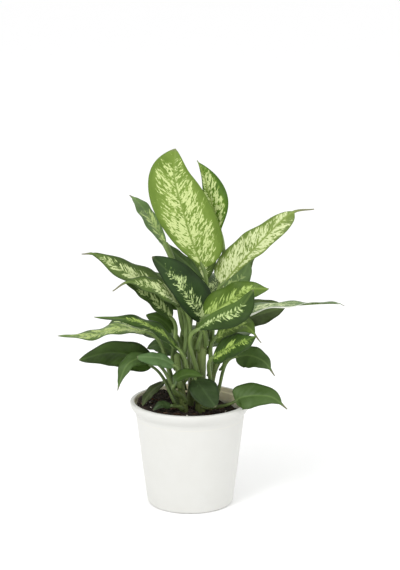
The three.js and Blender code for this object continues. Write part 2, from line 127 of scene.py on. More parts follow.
@dataclass(frozen=True)
class Spline(Route):
    """A Catmull-Rom route through points, each taking an equal share."""

    points: tuple[Vector, ...]

    def point(self, share: float) -> Vector:
        """Gives the place at that share of the points.

        Args:
            share: how far along, from 0 to 1.

        Returns:
            The place in metres.
        """
        spans = len(self.points) - 1
        index = min(int(share * spans), spans - 1)
        t = share * spans - index
        here, ahead = self.points[index], self.points[index + 1]
        before = self.points[index - 1] if index > 0 else 2 * here - ahead
        after = self.points[index + 2] if index + 2 <= spans else 2 * ahead - here
        leave, arrive = 0.5 * (ahead - before), 0.5 * (after - here)
        cubic = 2 * (here - ahead) + leave + arrive
        square = 3 * (ahead - here) - 2 * leave - arrive
        return here + leave * t + square * t * t + cubic * t ** 3


@dataclass(frozen=True)
class Bezier(Route):
    """A cubic Bezier route."""

    ends: tuple[Vector, Vector, Vector, Vector]

    def point(self, share: float) -> Vector:
        """Gives the place at that share of the route.

        Args:
            share: how far along, from 0 to 1.

        Returns:
            The place in metres.
        """
        a, b, c, d = self.ends
        rest = 1 - share
        return rest ** 3 * a + 3 * rest * rest * share * b + 3 * rest * share * share * c + share ** 3 * d


def route_through(points: Iterable[Triple]) -> Spline:
    """Makes a spline in metres through points in millimetres."""
    return Spline(tuple(Vector(p) * MM for p in points))


def frame_at(tangent: Vector, face: Vector) -> tuple[Vector, Vector]:
    """Gives the side and up directions across a tangent, with up nearest to face."""
    up = (face - face.dot(tangent) * tangent).normalized()
    return tangent.cross(up), up


# ---------------------------------------------------------------- meshes


def wrap(bm: bmesh.types.BMesh, along: int, around: int) -> list[tuple[bmesh.types.BMVert, float, float]]:
    """Adds a grid to be wrapped round a route.

    Args:
        bm: the mesh to add to.
        along: faces along the route.
        around: faces round it.

    Returns:
        Each vertex with its share of the route's length and its angle round it.
    """
    grid = bmesh.ops.create_grid(bm, x_segments=along, y_segments=around, size=1.0)["verts"]
    return [(vert, (vert.co.x + 1) / 2, math.pi * vert.co.y) for vert in grid]


def spoke(directions: tuple[Vector, Vector], angle: float) -> Vector:
    """Gives the direction at an angle from the first of two directions to the second."""
    side, up = directions
    return side * math.cos(angle) + up * math.sin(angle)


def close_up(bm: bmesh.types.BMesh, verts: Sequence[bmesh.types.BMVert]) -> None:
    """Merges seams, caps open ends and turns all faces outwards.

    Args:
        bm: the mesh.
        verts: the vertices that may be merged with each other.
    """
    bmesh.ops.remove_doubles(bm, verts=verts, dist=SEAM)
    bmesh.ops.holes_fill(bm, edges=[e for e in bm.edges if e.is_boundary], sides=0)
    bmesh.ops.recalc_face_normals(bm, faces=bm.faces[:])


def write_maps(bm: bmesh.types.BMesh, *layers: bmesh.types.BMLayerItem) -> None:
    """Copies what the vertices hold to the UV maps that the finishes read.

    Args:
        bm: the mesh.
        layers: its vertex layers of places and of shares.
    """
    for name, layer in zip((RIB_MAP, SHARE_MAP), layers):
        uv = bm.loops.layers.uv.new(name)
        for face in bm.faces:
            for loop in face.loops:
                loop[uv].uv = loop.vert[layer].xy


def finish_mesh(name: str, bm: bmesh.types.BMesh, *finishes: "Finish",
                flat: bool = False) -> bpy.types.Object:
    """Turns a bmesh to an object at the origin.

    Args:
        name: the piece's name.
        bm: its mesh in place, which is freed.
        finishes: one for each material index in use.
        flat: whether each face shows as a flat facet.

    Returns:
        The new object, linked to the scene.
    """
    mesh = bpy.data.meshes.new(name)
    for face in bm.faces:
        face.smooth = not flat
    bm.to_mesh(mesh)
    bm.free()
    for finish in finishes:
        mesh.materials.append(finish.material())
    piece = bpy.data.objects.new(name, mesh)
    bpy.context.collection.objects.link(piece)
    return piece


def settle(piece: bpy.types.Object, slot: str, *nodes: str) -> None:
    """Lets a piece ride on the plant and hides the nodes it stands for.

    Args:
        piece: the piece.
        slot: the frame's name for its kind of finish; not used.
        nodes: the nodes, if it stands for any.
    """
    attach(piece, BODY)
    if nodes:
        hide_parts(*nodes)
    LOG.info("%s: %d faces", piece.name, len(piece.data.polygons))


# ---------------------------------------------------------------- finishes


def plug(target: bpy.types.Node, sockets: dict) -> None:
    """Sets a node's inputs.

    Args:
        target: the node.
        sockets: what each input takes, by name or number: a value, an output, or a
            node, which stands for its first output in use.
    """
    for key, value in sockets.items():
        if isinstance(value, bpy.types.Node):
            value = next(output for output in value.outputs if output.enabled)
        if isinstance(value, bpy.types.NodeSocket):
            target.id_data.links.new(value, target.inputs[key])
        else:
            target.inputs[key].default_value = value


def node(tree: bpy.types.NodeTree, kind: str, sockets: dict | None = None, **settings) -> bpy.types.Node:
    """Adds a shader node with its settings and links.

    A MapRange node's inputs 0 to 4 are the value, the two ends that it reads and the
    two that it gives, which are 0 and 1 where they aren't set.

    Args:
        tree: the material's node tree.
        kind: the node's Blender type without the words ShaderNode.
        sockets: what each input takes, as plug reads it.
        settings: the node's own properties.

    Returns:
        The new node.
    """
    made = tree.nodes.new("ShaderNode" + kind)
    for key, value in settings.items():
        setattr(made, key, value)
    plug(made, sockets or {})
    return made


def paint(tree: bpy.types.NodeTree, base: str, *coats: tuple[bpy.types.Node, str]) -> bpy.types.Node:
    """Lays coats of colour over a base colour.

    Args:
        tree: the material's node tree.
        base: the hex colour below them.
        coats: for each, the node that says how far it covers, and its hex colour.

    Returns:
        The node that gives the colour.
    """
    colour = linear(base)
    for share, hex_code in coats:
        colour = node(tree, "Mix", {0: share, 6: colour, 7: linear(hex_code)}, data_type="RGBA")
    return colour


@dataclass(frozen=True)
class Finish:
    """A material that is built once for all pieces that wear it."""

    title: str

    def material(self) -> bpy.types.Material:
        """Gives the material.

        Returns:
            The material, which is built the first time.
        """
        made = bpy.data.materials.get(self.title)
        if not made:
            made = bpy.data.materials.new(self.title)
            made.use_nodes = True
            plug(made.node_tree.nodes["Principled BSDF"], self.sockets(made.node_tree))
        return made

    def sockets(self, tree: bpy.types.NodeTree) -> dict:
        """Adds the finish's nodes and gives what the shader's inputs take."""
        raise NotImplementedError


class LeafPlace:
    """Where a point of a leaf lies, as outputs in its material's node tree.

    along and across are in metres from the midrib's start, away is the distance from
    the midrib, side is -1 or 1, and vein tells one side vein from the next.
    """

    HALVES = 7.3  # sets the two halves' patterns apart

    def __init__(self, tree: bpy.types.NodeTree, slant: float, bend: float) -> None:
        """Adds the nodes that read the leaf's UV maps.

        Args:
            tree: the material's node tree.
            slant: how far the side veins lean to the tip.
            bend: per metre, how much more they lean towards the margin.
        """
        self.tree = tree
        self.rib = node(tree, "UVMap", uv_map=RIB_MAP)
        self.along, self.across = node(tree, "SeparateXYZ", {0: self.rib}).outputs[:2]
        shares = node(tree, "SeparateXYZ", {0: node(tree, "UVMap", uv_map=SHARE_MAP)})
        self.length_share, self.width_share = shares.outputs[:2]
        self.away = node(tree, "Math", {0: self.across}, operation="ABSOLUTE")
        self.side = node(tree, "Math", {0: self.across}, operation="SIGN")
        lean = node(tree, "Math", {0: self.away, 1: bend, 2: slant}, operation="MULTIPLY_ADD")
        back = node(tree, "Math", {0: lean, 1: self.away}, operation="MULTIPLY")
        self.vein = node(tree, "Math", {0: self.along, 1: back}, operation="SUBTRACT")

    def noise(self, size: Pair, detail: float) -> bpy.types.Node:
        """Adds noise drawn out along the side veins.

        Args:
            size: a patch's width and its length along the veins, in millimetres.
            detail: the noise's detail.

        Returns:
            The noise.
        """
        wide, long = (1 / (part * MM) for part in size)
        u = node(self.tree, "Math", {0: self.vein, 1: wide}, operation="MULTIPLY")
        v = node(self.tree, "Math", {0: self.away, 1: long}, operation="MULTIPLY")
        w = node(self.tree, "Math", {0: self.side, 1: self.HALVES}, operation="MULTIPLY")
        place = node(self.tree, "CombineXYZ", {0: u, 1: v, 2: w})
        return node(self.tree, "TexNoise", {"Scale": 1.0, "Detail": detail, "Roughness": 0.62,
                                            "Distortion": 0.35, "Vector": place})


@dataclass(frozen=True)
class LeafFinish(Finish):
    """Waxy living leaf, green with cream flecks that run along the side veins.

    The wax gives the eye a broad, soft sheen, and the side veins show as faint
    ridges. Each fleck is a patch of cells without green, so it has ragged ends.
    """

    slot: str  # the frame's name for its kind of finish
    dark: str
    green: str
    halo: str
    cream: str
    midrib: str
    under: str = "76875A"
    withered: str = "6F6A55"  # the dry thin end
    white: str = "ECEEE2"  # a painted highlight along the plus side's margin
    cover: float = -0.6  # share of the blade's middle that is cream, below 0 for none
    band: float = 0.75  # share of the half width where the cream gives out
    tip: float = 0.9  # share of the length where it gives out
    fleck: Pair = (1.9, 6.4)  # mm, a fleck's width and its length along the veins
    gloss: float = 0.42
    slant: float = 0.85  # how far the side veins lean to the tip
    bend: float = 9.0  # per metre, how much more they lean towards the margin
    vein: float = 6.5  # mm between side veins
    line: float = 0.6  # how strongly the midrib shows
    speck: float = 0.16  # how strongly green dots break the cream
    soft: float = 0.034  # how gently the cream gives way to green
    painted_light_half: float = 0.0  # how much paler the green is painted on the minus side, as painted light on that half
    painted_glint: float = 0.0  # how strongly a painted highlight whitens the plus side's margin

    PATCH = (11.0, 17.0)  # mm, the broad patches that gather the flecks
    GATHER = 0.55  # how strongly they do
    DOT = (1.5, 2.6)  # mm, the green dots in the cream
    FADE = 0.42  # how far the cream sinks outside its band
    LEVEL = 0.775  # noise above this is cream where half is to be
    LEVEL_RANGE = 0.26  # how far the cover moves that level
    HALO = 0.11  # how far below the cream the paler green begins
    TONE = 45.0  # per metre, for the green's uneven patches of about 22 mm
    GRAIN = 600.0  # per metre, for the skin's grain of about 1.7 mm

    def sockets(self, tree: bpy.types.NodeTree) -> dict:
        """Gives the leaf its colour, its veins' relief and its uneven wax.

        Args:
            tree: the material's node tree.

        Returns:
            What the shader's inputs take.
        """
        at = LeafPlace(tree, self.slant, self.bend)
        tone = node(tree, "TexNoise", {"Scale": self.TONE, "Detail": 2.0, "Vector": at.rib})
        turns = node(tree, "Math", {0: at.vein, 1: 2 * math.pi / (self.vein * MM)}, operation="MULTIPLY")
        ridge = node(tree, "Math", {0: turns}, operation="SINE")
        grain = node(tree, "TexNoise", {"Scale": self.GRAIN, "Detail": 2.0, "Vector": at.rib})
        height = node(tree, "Math", {0: ridge, 1: 0.5, 2: grain}, operation="MULTIPLY_ADD")
        bump = node(tree, "Bump", {"Strength": 0.22, "Distance": 0.5 * MM, "Height": height})
        sheen = node(tree, "MapRange", {0: tone, 1: 0.3, 2: 0.7, 3: self.gloss - 0.06, 4: self.gloss + 0.1})
        colour = paint(tree, self.dark, *self.living(tree, at, tone), *self.outer(tree, at))
        return {"Base Color": colour, "Normal": bump, "Roughness": sheen, "IOR": 1.42,
                "Specular IOR Level": 0.24}

    def ending(self, tree: bpy.types.NodeTree, at: LeafPlace) -> bpy.types.Node:
        """Says how far along the leaf the cream has given out."""
        return node(tree, "MapRange", {0: at.length_share, 1: self.tip - 0.25, 2: self.tip + 0.08},
                    interpolation_type="SMOOTHSTEP")

    def living(self, tree: bpy.types.NodeTree, at: LeafPlace, tone: bpy.types.Node) -> list[tuple]:
        """Gives the coats of green and cream, and the painted light on one half.

        Args:
            tree: the material's node tree.
            at: the place on the leaf.
            tone: the green's uneven patches.

        Returns:
            The coats, as paint takes them.
        """
        flecks, patches = at.noise(self.fleck, 2.0), at.noise(self.PATCH, 1.0)
        both = node(tree, "Math", {0: patches, 1: self.GATHER, 2: flecks}, operation="MULTIPLY_ADD")
        dots = node(tree, "MapRange", {0: at.noise(self.DOT, 1.0), 1: 0.53, 2: 0.64, 4: self.speck})
        edge = node(tree, "MapRange", {0: at.width_share, 1: self.band - 0.4, 2: self.band + 0.2},
                    interpolation_type="SMOOTHSTEP")
        out = node(tree, "Math", {0: edge, 1: self.ending(tree, at)}, operation="MAXIMUM")
        faded = node(tree, "Math", {0: out, 1: -self.FADE, 2: both}, operation="MULTIPLY_ADD")
        level = node(tree, "Math", {0: faded, 1: dots}, operation="SUBTRACT")
        start = self.LEVEL + self.LEVEL_RANGE * (0.5 - self.cover)
        cream = node(tree, "MapRange", {0: level, 1: start - self.soft / 3, 2: start + self.soft * 2 / 3})
        halo = node(tree, "MapRange", {0: level, 1: start - self.HALO, 2: start, 4: 0.8},
                    interpolation_type="SMOOTHSTEP")
        rim = node(tree, "MapRange", {0: at.width_share, 1: 0.75, 2: 1.0, 4: 0.35})
        depth = node(tree, "Math", {0: tone, 1: rim}, operation="SUBTRACT")
        spread = node(tree, "MapRange", {0: depth, 1: 0.3, 2: 0.65})
        # painted light: the minus half's green is painted paler
        painted_lit_coat = node(tree, "MapRange", {0: at.across, 1: 2 * MM, 2: -6 * MM, 4: self.painted_light_half})
        return [(spread, self.green), (painted_lit_coat, self.halo), (halo, self.halo), (cream, self.cream)]

    def outer(self, tree: bpy.types.NodeTree, at: LeafPlace) -> list[tuple]:
        """Gives the coats that lie over the green and cream.

        Args:
            tree: the material's node tree.
            at: the place on the leaf.

        Returns:
            The midrib, the painted highlight along a margin, the pale underside and the dry end.
        """
        line = node(tree, "MapRange", {0: at.away, 1: 0.4 * MM, 2: 1.4 * MM, 3: self.line, 4: 0.0})
        coats = [(line, self.midrib)]
        # painted highlight: a white strip along the plus side's margin
        if self.painted_glint:
            glint_edge = node(tree, "Math", {0: at.width_share, 1: at.side}, operation="MULTIPLY")
            glint_reach = node(tree, "Math", {0: self.ending(tree, at), 1: -0.3, 2: glint_edge}, operation="MULTIPLY_ADD")
            coats.append((node(tree, "MapRange", {0: glint_reach, 1: 0.7, 2: 0.78, 4: self.painted_glint}), self.white))
        below = node(tree, "Attribute", attribute_name=UNDER).outputs["Fac"]
        pale = node(tree, "Math", {0: below, 1: 0.6}, operation="MULTIPLY")
        dry = node(tree, "MapRange", {0: at.length_share, 1: 0.93, 2: 0.965, 4: 0.8})
        return coats + [(pale, self.under), (dry, self.withered)]


@dataclass(frozen=True)
class StemFinish(Finish):
    """Smooth young stem skin: green, a little streaked along its length."""

    dark: str
    light: str
    # the old skin's dark colour, which also stands in for painted shade at the crowded base
    old_skin_and_shade: str = "2C371A"
    young: str = "64783C"
    scar: str = "6B5A35"
    streak: float = 1.1  # mm across
    scars: float = 0.0  # mm between the brown ring scars, 0 for none
    age_and_shade: float = 0.65  # how far the skin darkens at the soil: its old skin, and painted shade of the crowded base
    level: Pair = (95.0, 175.0)  # mm above the floor, where the old skin and painted shade are darkest and where they end

    STRETCH = 14  # a streak's length over its width
    PATCH = 55.0  # per metre, for patches of about 18 mm

    def sockets(self, tree: bpy.types.NodeTree) -> dict:
        """Gives the stem its streaks, its old skin darkened with painted shade towards the soil and, on a
        cane, its scars and fresh top.

        Args:
            tree: the material's node tree.

        Returns:
            What the shader's inputs take.
        """
        rib = node(tree, "UVMap", uv_map=RIB_MAP)
        fine = 1 / (self.streak * MM)
        drawn = node(tree, "Mapping", {"Vector": rib, "Scale": (fine / self.STRETCH, fine, 1.0)})
        streaks = node(tree, "TexNoise", {"Scale": 1.0, "Detail": 3.0, "Vector": drawn})
        place = node(tree, "TexCoord").outputs["Object"]
        broad = node(tree, "TexNoise", {"Scale": self.PATCH, "Detail": 1.0, "Vector": place})
        both = node(tree, "Math", {0: streaks, 1: broad}, operation="ADD")
        share = node(tree, "MapRange", {0: both, 1: 0.72, 2: 1.25})
        height = node(tree, "SeparateXYZ", {0: place}).outputs[2]
        # darker towards the soil: old skin, and painted shade where the stems crowd
        low = node(tree, "MapRange", {0: height, 1: self.level[0] * MM, 2: self.level[1] * MM,
                                      3: self.age_and_shade, 4: 0.0})
        coats = [(share, self.light), (low, self.old_skin_and_shade)]
        if self.scars:
            run = node(tree, "SeparateXYZ", {0: rib}).outputs[0]
            turns = node(tree, "Math", {0: run, 1: 1 / (self.scars * MM), 2: 0.5}, operation="MULTIPLY_ADD")
            wave = node(tree, "Math", {0: turns, 1: 1.0}, operation="PINGPONG")
            ring = node(tree, "MapRange", {0: wave, 1: 0.9, 2: 0.97, 4: 0.75})
            shares = node(tree, "SeparateXYZ", {0: node(tree, "UVMap", uv_map=SHARE_MAP)})
            fresh = node(tree, "MapRange", {0: shares.outputs[0], 1: 0.5, 2: 0.9, 4: 0.85})
            coats += [(ring, self.scar), (fresh, self.young)]
        bump = node(tree, "Bump", {"Strength": 0.3, "Distance": 0.4 * MM, "Height": streaks})
        return {"Base Color": paint(tree, self.dark, *coats), "Normal": bump, "Roughness": 0.45, "IOR": 1.42}


@dataclass(frozen=True)
class PotFinish(Finish):
    """Thin injection-moulded polypropylene: white, satin, a little soil dust inside, painted paler than the
    white as painted light through the thin wall.
    """

    title: str = "moulded_white_polypropylene"
    white: str = "CDCDC9"
    shade: str = "C6C5BF"
    # soil dust's colour, paler than the white: painted light on the inner wall
    dust_and_painted_light: str = "EADDB8"
    bore: float = 53.9  # mm, inside this radius the wall is dusty and painted paler below the ledge
    mouth: float = 55.9  # and inside this one above it
    ledge: float = 100.2
    soil: Pair = (88.0, 93.5)  # mm, the heights between which the dust and painted light begin

    CLOUD = 60.0  # per metre, for patches of about 17 mm
    FINE = 900.0  # per metre, for the mould's grain of about 1.1 mm

    def sockets(self, tree: bpy.types.NodeTree) -> dict:
        """Gives the pot its faint unevenness and, inside, its dust, painted paler than the white as painted
        light.

        Args:
            tree: the material's node tree.

        Returns:
            What the shader's inputs take.
        """
        place = node(tree, "TexCoord").outputs["Object"]
        x, y, z = node(tree, "SeparateXYZ", {0: place}).outputs
        flat = node(tree, "CombineXYZ", {0: x, 1: y})
        radius = node(tree, "VectorMath", {0: flat}, operation="LENGTH").outputs["Value"]
        limit = node(tree, "MapRange", {0: z, 1: self.ledge * MM, 2: (self.ledge + 0.4) * MM,
                                        3: self.bore * MM, 4: self.mouth * MM})
        inside = node(tree, "Math", {0: radius, 1: limit}, operation="LESS_THAN")
        high = node(tree, "MapRange", {0: z, 1: self.soil[0] * MM, 2: self.soil[1] * MM})
        within = node(tree, "Math", {0: inside, 1: high}, operation="MULTIPLY")
        cloud = node(tree, "TexNoise", {"Scale": self.CLOUD, "Detail": 4.0, "Vector": place})
        mottle = node(tree, "MapRange", {0: cloud, 1: 0.3, 2: 0.7, 3: 0.55})
        # inside: soil dust, painted paler than the white to stand in for light through the thin wall
        dust_and_light_share = node(tree, "Math", {0: within, 1: mottle}, operation="MULTIPLY")
        tint = node(tree, "MapRange", {0: cloud, 1: 0.3, 2: 0.7, 3: 0.7})
        fine = node(tree, "TexNoise", {"Scale": self.FINE, "Detail": 2.0, "Vector": place})
        bump = node(tree, "Bump", {"Strength": 0.12, "Distance": 0.2 * MM, "Height": fine})
        rough = node(tree, "MapRange", {0: cloud, 1: 0.3, 2: 0.7, 3: 0.36, 4: 0.5})
        return {"Base Color": paint(tree, self.shade, (tint, self.white), (dust_and_light_share, self.dust_and_painted_light)),
                "Normal": bump, "Roughness": rough, "IOR": 1.49}


@dataclass(frozen=True)
class GritFinish(Finish):
    """A loose grain of the potting mix: matt, uneven, a colour of its own."""

    dark: str
    light: str
    grain: float  # mm
    rough: float = 0.95

    def sockets(self, tree: bpy.types.NodeTree) -> dict:
        """Gives the grain its uneven colour and its rough skin.

        Args:
            tree: the material's node tree.

        Returns:
            What the shader's inputs take.
        """
        place = node(tree, "TexCoord").outputs["Object"]
        speck = node(tree, "TexNoise", {"Scale": 1 / (self.grain * MM), "Detail": 5.0, "Roughness": 0.7,
                                        "Vector": place})
        share = node(tree, "MapRange", {0: speck, 1: 0.36, 2: 0.68})
        bump = node(tree, "Bump", {"Strength": 0.9, "Distance": 1.2 * MM, "Height": speck})
        return {"Base Color": paint(tree, self.dark, (share, self.light)), "Normal": bump,
                "Roughness": self.rough}


@dataclass(frozen=True)
class PaperFinish(Finish):
    """Matt white studio paper."""

    title: str = "white_studio_paper"

    def sockets(self, tree: bpy.types.NodeTree) -> dict:
        """Gives the paper its plain white."""
        return {"Base Color": linear("FAFAFA"), "Roughness": 0.9}


class Marking(Enum):
    """How a leaf is marked, from nearly all cream to plain green."""

    CROWN = LeafFinish("leaf_crown_flecked", "leaf_pale", dark="5C7428", green="6F8638", halo="8BA050",
                       cream="B9C684", midrib="6F8538", cover=0.64, band=0.92, tip=0.97, line=0.9,
                       fleck=(2.8, 4.8), speck=0.32)
    YOUNG = LeafFinish("leaf_young_flecked", "leaf_pale", dark="3C5A14", green="5A7A22", halo="88A048",
                       cream="BBC988", midrib="7A8E40", cover=0.68, band=0.86, tip=0.82, line=0.7,
                       fleck=(3.0, 4.2), speck=0.34)
    PALE = LeafFinish("leaf_mostly_cream", "leaf_pale", dark="5E7230", green="748840", halo="98A862",
                      cream="BEC894", midrib="76893F", cover=0.84, band=1.0, tip=0.98, line=0.95,
                      fleck=(2.5, 4.2), speck=0.34)
    FLECKED = LeafFinish("leaf_flecked", "leaf_bright", dark="3D5021", green="566C30", halo="7D934B",
                         cream="BECA92", midrib="7D9450", cover=0.58, band=0.76, tip=0.9, line=0.25,
                         fleck=(2.0, 4.8))
    LIME = LeafFinish("leaf_mostly_lime", "leaf_bright", dark="485F28", green="5C7632", halo="7E9646",
                      cream="A6B86C", midrib="86A048", cover=0.64, band=0.95, tip=0.97, line=0.3,
                      fleck=(2.2, 5.0), soft=0.06)
    BRIGHT = LeafFinish("leaf_bright_flecked", "leaf_bright", dark="42591A", green="587028", halo="78923A",
                        cream="A2B866", midrib="7E9742", cover=0.54, band=0.64, tip=0.85, line=0.5,
                        fleck=(2.2, 6.4), soft=0.08)
    LIMED = LeafFinish("leaf_lime_flecked", "leaf_bright", dark="273B14", green="3A531C", halo="668230",
                       cream="9FB75E", midrib="6E8A38", cover=0.54, band=0.6, tip=0.85, line=0.4,
                       fleck=(2.0, 5.0), soft=0.08)
    # painted highlight along the plus side's margin
    EDGED = LeafFinish("leaf_painted_glint_edge", "leaf_bright", dark="52683E", green="6A824C", halo="8CA462",
                       cream="C8D2A0", midrib="86A062", cover=0.6, band=0.8, tip=0.62, line=0.25,
                       fleck=(2.0, 4.8), painted_glint=0.9)
    SOFT = LeafFinish("leaf_soft_mottled", "leaf_bright", dark="5A7244", green="6C8650", halo="8EA664",
                      cream="BCCE86", midrib="86A062", cover=0.6, band=0.85, tip=0.66, line=0.3,
                      fleck=(3.0, 8.0), soft=0.16)
    BANDED = LeafFinish("leaf_dark_banded", "leaf_deep", dark="1A2C0E", green="283E18", halo="5C7634",
                        cream="B4C588", midrib="6C8448", cover=0.52, band=0.58, tip=0.84, line=0.12,
                        fleck=(1.7, 4.0))
    # painted light: one half of this dark leaf is painted paler
    HALVED = LeafFinish("leaf_dark_painted_lit_half", "leaf_deep", dark="24380F", green="344A1C", halo="648038",
                        cream="B4C588", midrib="7C944C", cover=0.52, band=0.6, tip=0.84, line=0.2,
                        fleck=(1.8, 4.2), painted_light_half=0.42)
    STREAKED = LeafFinish("leaf_mid_banded", "leaf_deep", dark="304418", green="465C2A", halo="708846",
                          cream="B4C486", midrib="637A40", cover=0.6, band=0.66, tip=0.85, line=0.2,
                          fleck=(1.9, 4.8))
    DARK = LeafFinish("leaf_plain_dark", "leaf_deep", dark="26390B", green="3A5219", halo="3F5430",
                      cream="47603A", midrib="4E6630", line=0.4)
    PLAIN = LeafFinish("leaf_plain_green", "leaf_plain", dark="384E20", green="4A6132", halo="526A3C",
                       cream="5E7646", midrib="6A8248", line=0.38)
    # partly painted shade: a darker copy of the plain dark leaf for leaves low in the plant's shade
    DUSKY = LeafFinish("leaf_dark_bluish_shaded", "leaf_deep", dark="243418", green="364826", halo="3F5430",
                       cream="47603A", midrib="4A5F38", line=0.3)
    SHADED = LeafFinish("leaf_plain_shaded", "leaf_deep", dark="333F1E", green="4A5A30", halo="3F5430",
                        cream="47603A", midrib="5E7040", line=0.35)
    DULL = LeafFinish("leaf_plain_dull", "leaf_plain", dark="353F22", green="4A5436", halo="526A3C",
                      cream="5E7646", midrib="66744C", line=0.35)
    BLUISH = LeafFinish("leaf_plain_bluish", "leaf_plain", dark="466036", green="5A7446", halo="678052",
                        cream="70895A", midrib="728C5A", line=0.35)


STALK_FINISH = StemFinish("leaf_stalk_skin", dark="4A5E2C", light="7D9350")
CANE_FINISH = StemFinish("cane_skin", dark="55662F", light="86954F", streak=1.6, scars=13.0)


# ---------------------------------------------------------------- pot


@dataclass(frozen=True)
class Pot:
    """The thin nursery pot, in millimetres."""

    height: float = 105.0
    base_radius: float = 43.0
    base_round: float = 2.5
    wall: float = 1.6
    floor: float = 2.4
    neck_radius: float = 54.4
    lip_depth: float = 12.0
    rim_radius: float = 60.0
    rim_round: float = 1.8
    mouth_radius: float = 55.6
    step_depth: float = 4.4
    step_radius: float = 54.6
    segments: int = 144

    QUARTER = math.pi / 2
    FOOT_STEPS, FLARE_STEPS, RIM_STEPS = 5, 12, 6  # steps of the section's round stretches
    OUTER_LEVELS = (20.0, 40.0, 60.0, 78.0, 89.0)
    INNER_LEVELS = (80.0, 60.0, 40.0, 20.0)
    MOUTH_ROUND = ((1.4, 0.0), (0.6, -0.05), (0.2, -0.25), (0.0, -0.6))  # from the mouth, from the top
    LEDGE_ROUND = ((0.05, 0.25), (-0.2, 0.0), (-0.8, -0.2), (-1.1, -0.9))  # from the step, from the ledge
    LEDGE_START = (-0.6, 1.6)  # from the mouth, from the ledge
    FLOOR_ROUND = 1.5

    def wall_radius(self, z: float) -> float:
        """Gives the straight wall's outer radius at height z."""
        return mix(self.base_radius, self.neck_radius, z / (self.height - self.lip_depth))

    def quarter(self, steps: int) -> list[float]:
        """Gives the angles that divide a quarter turn into that many steps."""
        return [self.QUARTER * i / steps for i in range(steps + 1)]

    def outside(self) -> list[Pair]:
        """Draws the section from the middle of the underside up to the rim's top.

        Returns:
            Its points, as radius and height.
        """
        foot, flare = self.base_radius - self.base_round, self.rim_radius - self.neck_radius
        neck, straight = self.height - self.lip_depth, self.lip_depth - self.rim_round
        points = [(0.0, 0.0)]
        points += [(foot + self.base_round * math.sin(turn), self.base_round * (1 - math.cos(turn)))
                   for turn in self.quarter(self.FOOT_STEPS)]
        points += [(self.wall_radius(z), z) for z in self.OUTER_LEVELS]
        points += [(self.neck_radius + flare * math.sin(turn), neck + straight * turn / self.QUARTER)
                   for turn in self.quarter(self.FLARE_STEPS)]
        points += [(self.rim_radius - self.rim_round * (1 - math.cos(turn)),
                    self.height - self.rim_round * (1 - math.sin(turn)))
                   for turn in self.quarter(self.RIM_STEPS)[1:]]
        return points

    def inside(self) -> list[Pair]:
        """Draws the section from the rim's top down to the middle of the floor.

        Returns:
            Its points, as radius and height.
        """
        mouth, ledge = self.mouth_radius, self.height - self.step_depth
        points = [(mouth + out, self.height + up) for out, up in self.MOUTH_ROUND]
        points.append((mouth + self.LEDGE_START[0], ledge + self.LEDGE_START[1]))
        points += [(self.step_radius + out, ledge + up) for out, up in self.LEDGE_ROUND]
        levels = (self.height - self.lip_depth, *self.INNER_LEVELS, self.floor + self.FLOOR_ROUND)
        points += [(self.wall_radius(z) - self.wall, z) for z in levels]
        inner = self.wall_radius(self.floor) - self.wall - self.FLOOR_ROUND
        return points + [(inner, self.floor), (0.0, self.floor)]

    def build(self) -> None:
        """Spins the section to the pot."""
        bm = bmesh.new()
        verts = [bm.verts.new(Vector((r, 0.0, z)) * MM) for r, z in self.outside() + self.inside()]
        edges = [bm.edges.new(pair) for pair in zip(verts, verts[1:])]
        bmesh.ops.spin(bm, geom=verts + edges, axis=(0, 0, 1), cent=(0, 0, 0), angle=2 * math.pi,
                       steps=self.segments, use_merge=True)
        close_up(bm, bm.verts[:])
        settle(finish_mesh("nursery_pot", bm, PotFinish()), "pot", "pot")


# ---------------------------------------------------------------- soil


@dataclass(frozen=True)
class Grains:
    """One kind of loose grain on the soil. Sizes in millimetres."""

    name: str
    count: int
    size: Pair  # smallest and largest radius
    squash: Triple  # proportions
    sunk: float  # share of a grain's height below the surface
    kept: float  # the chance that a grain lies where the plant covers the bed
    finish: GritFinish


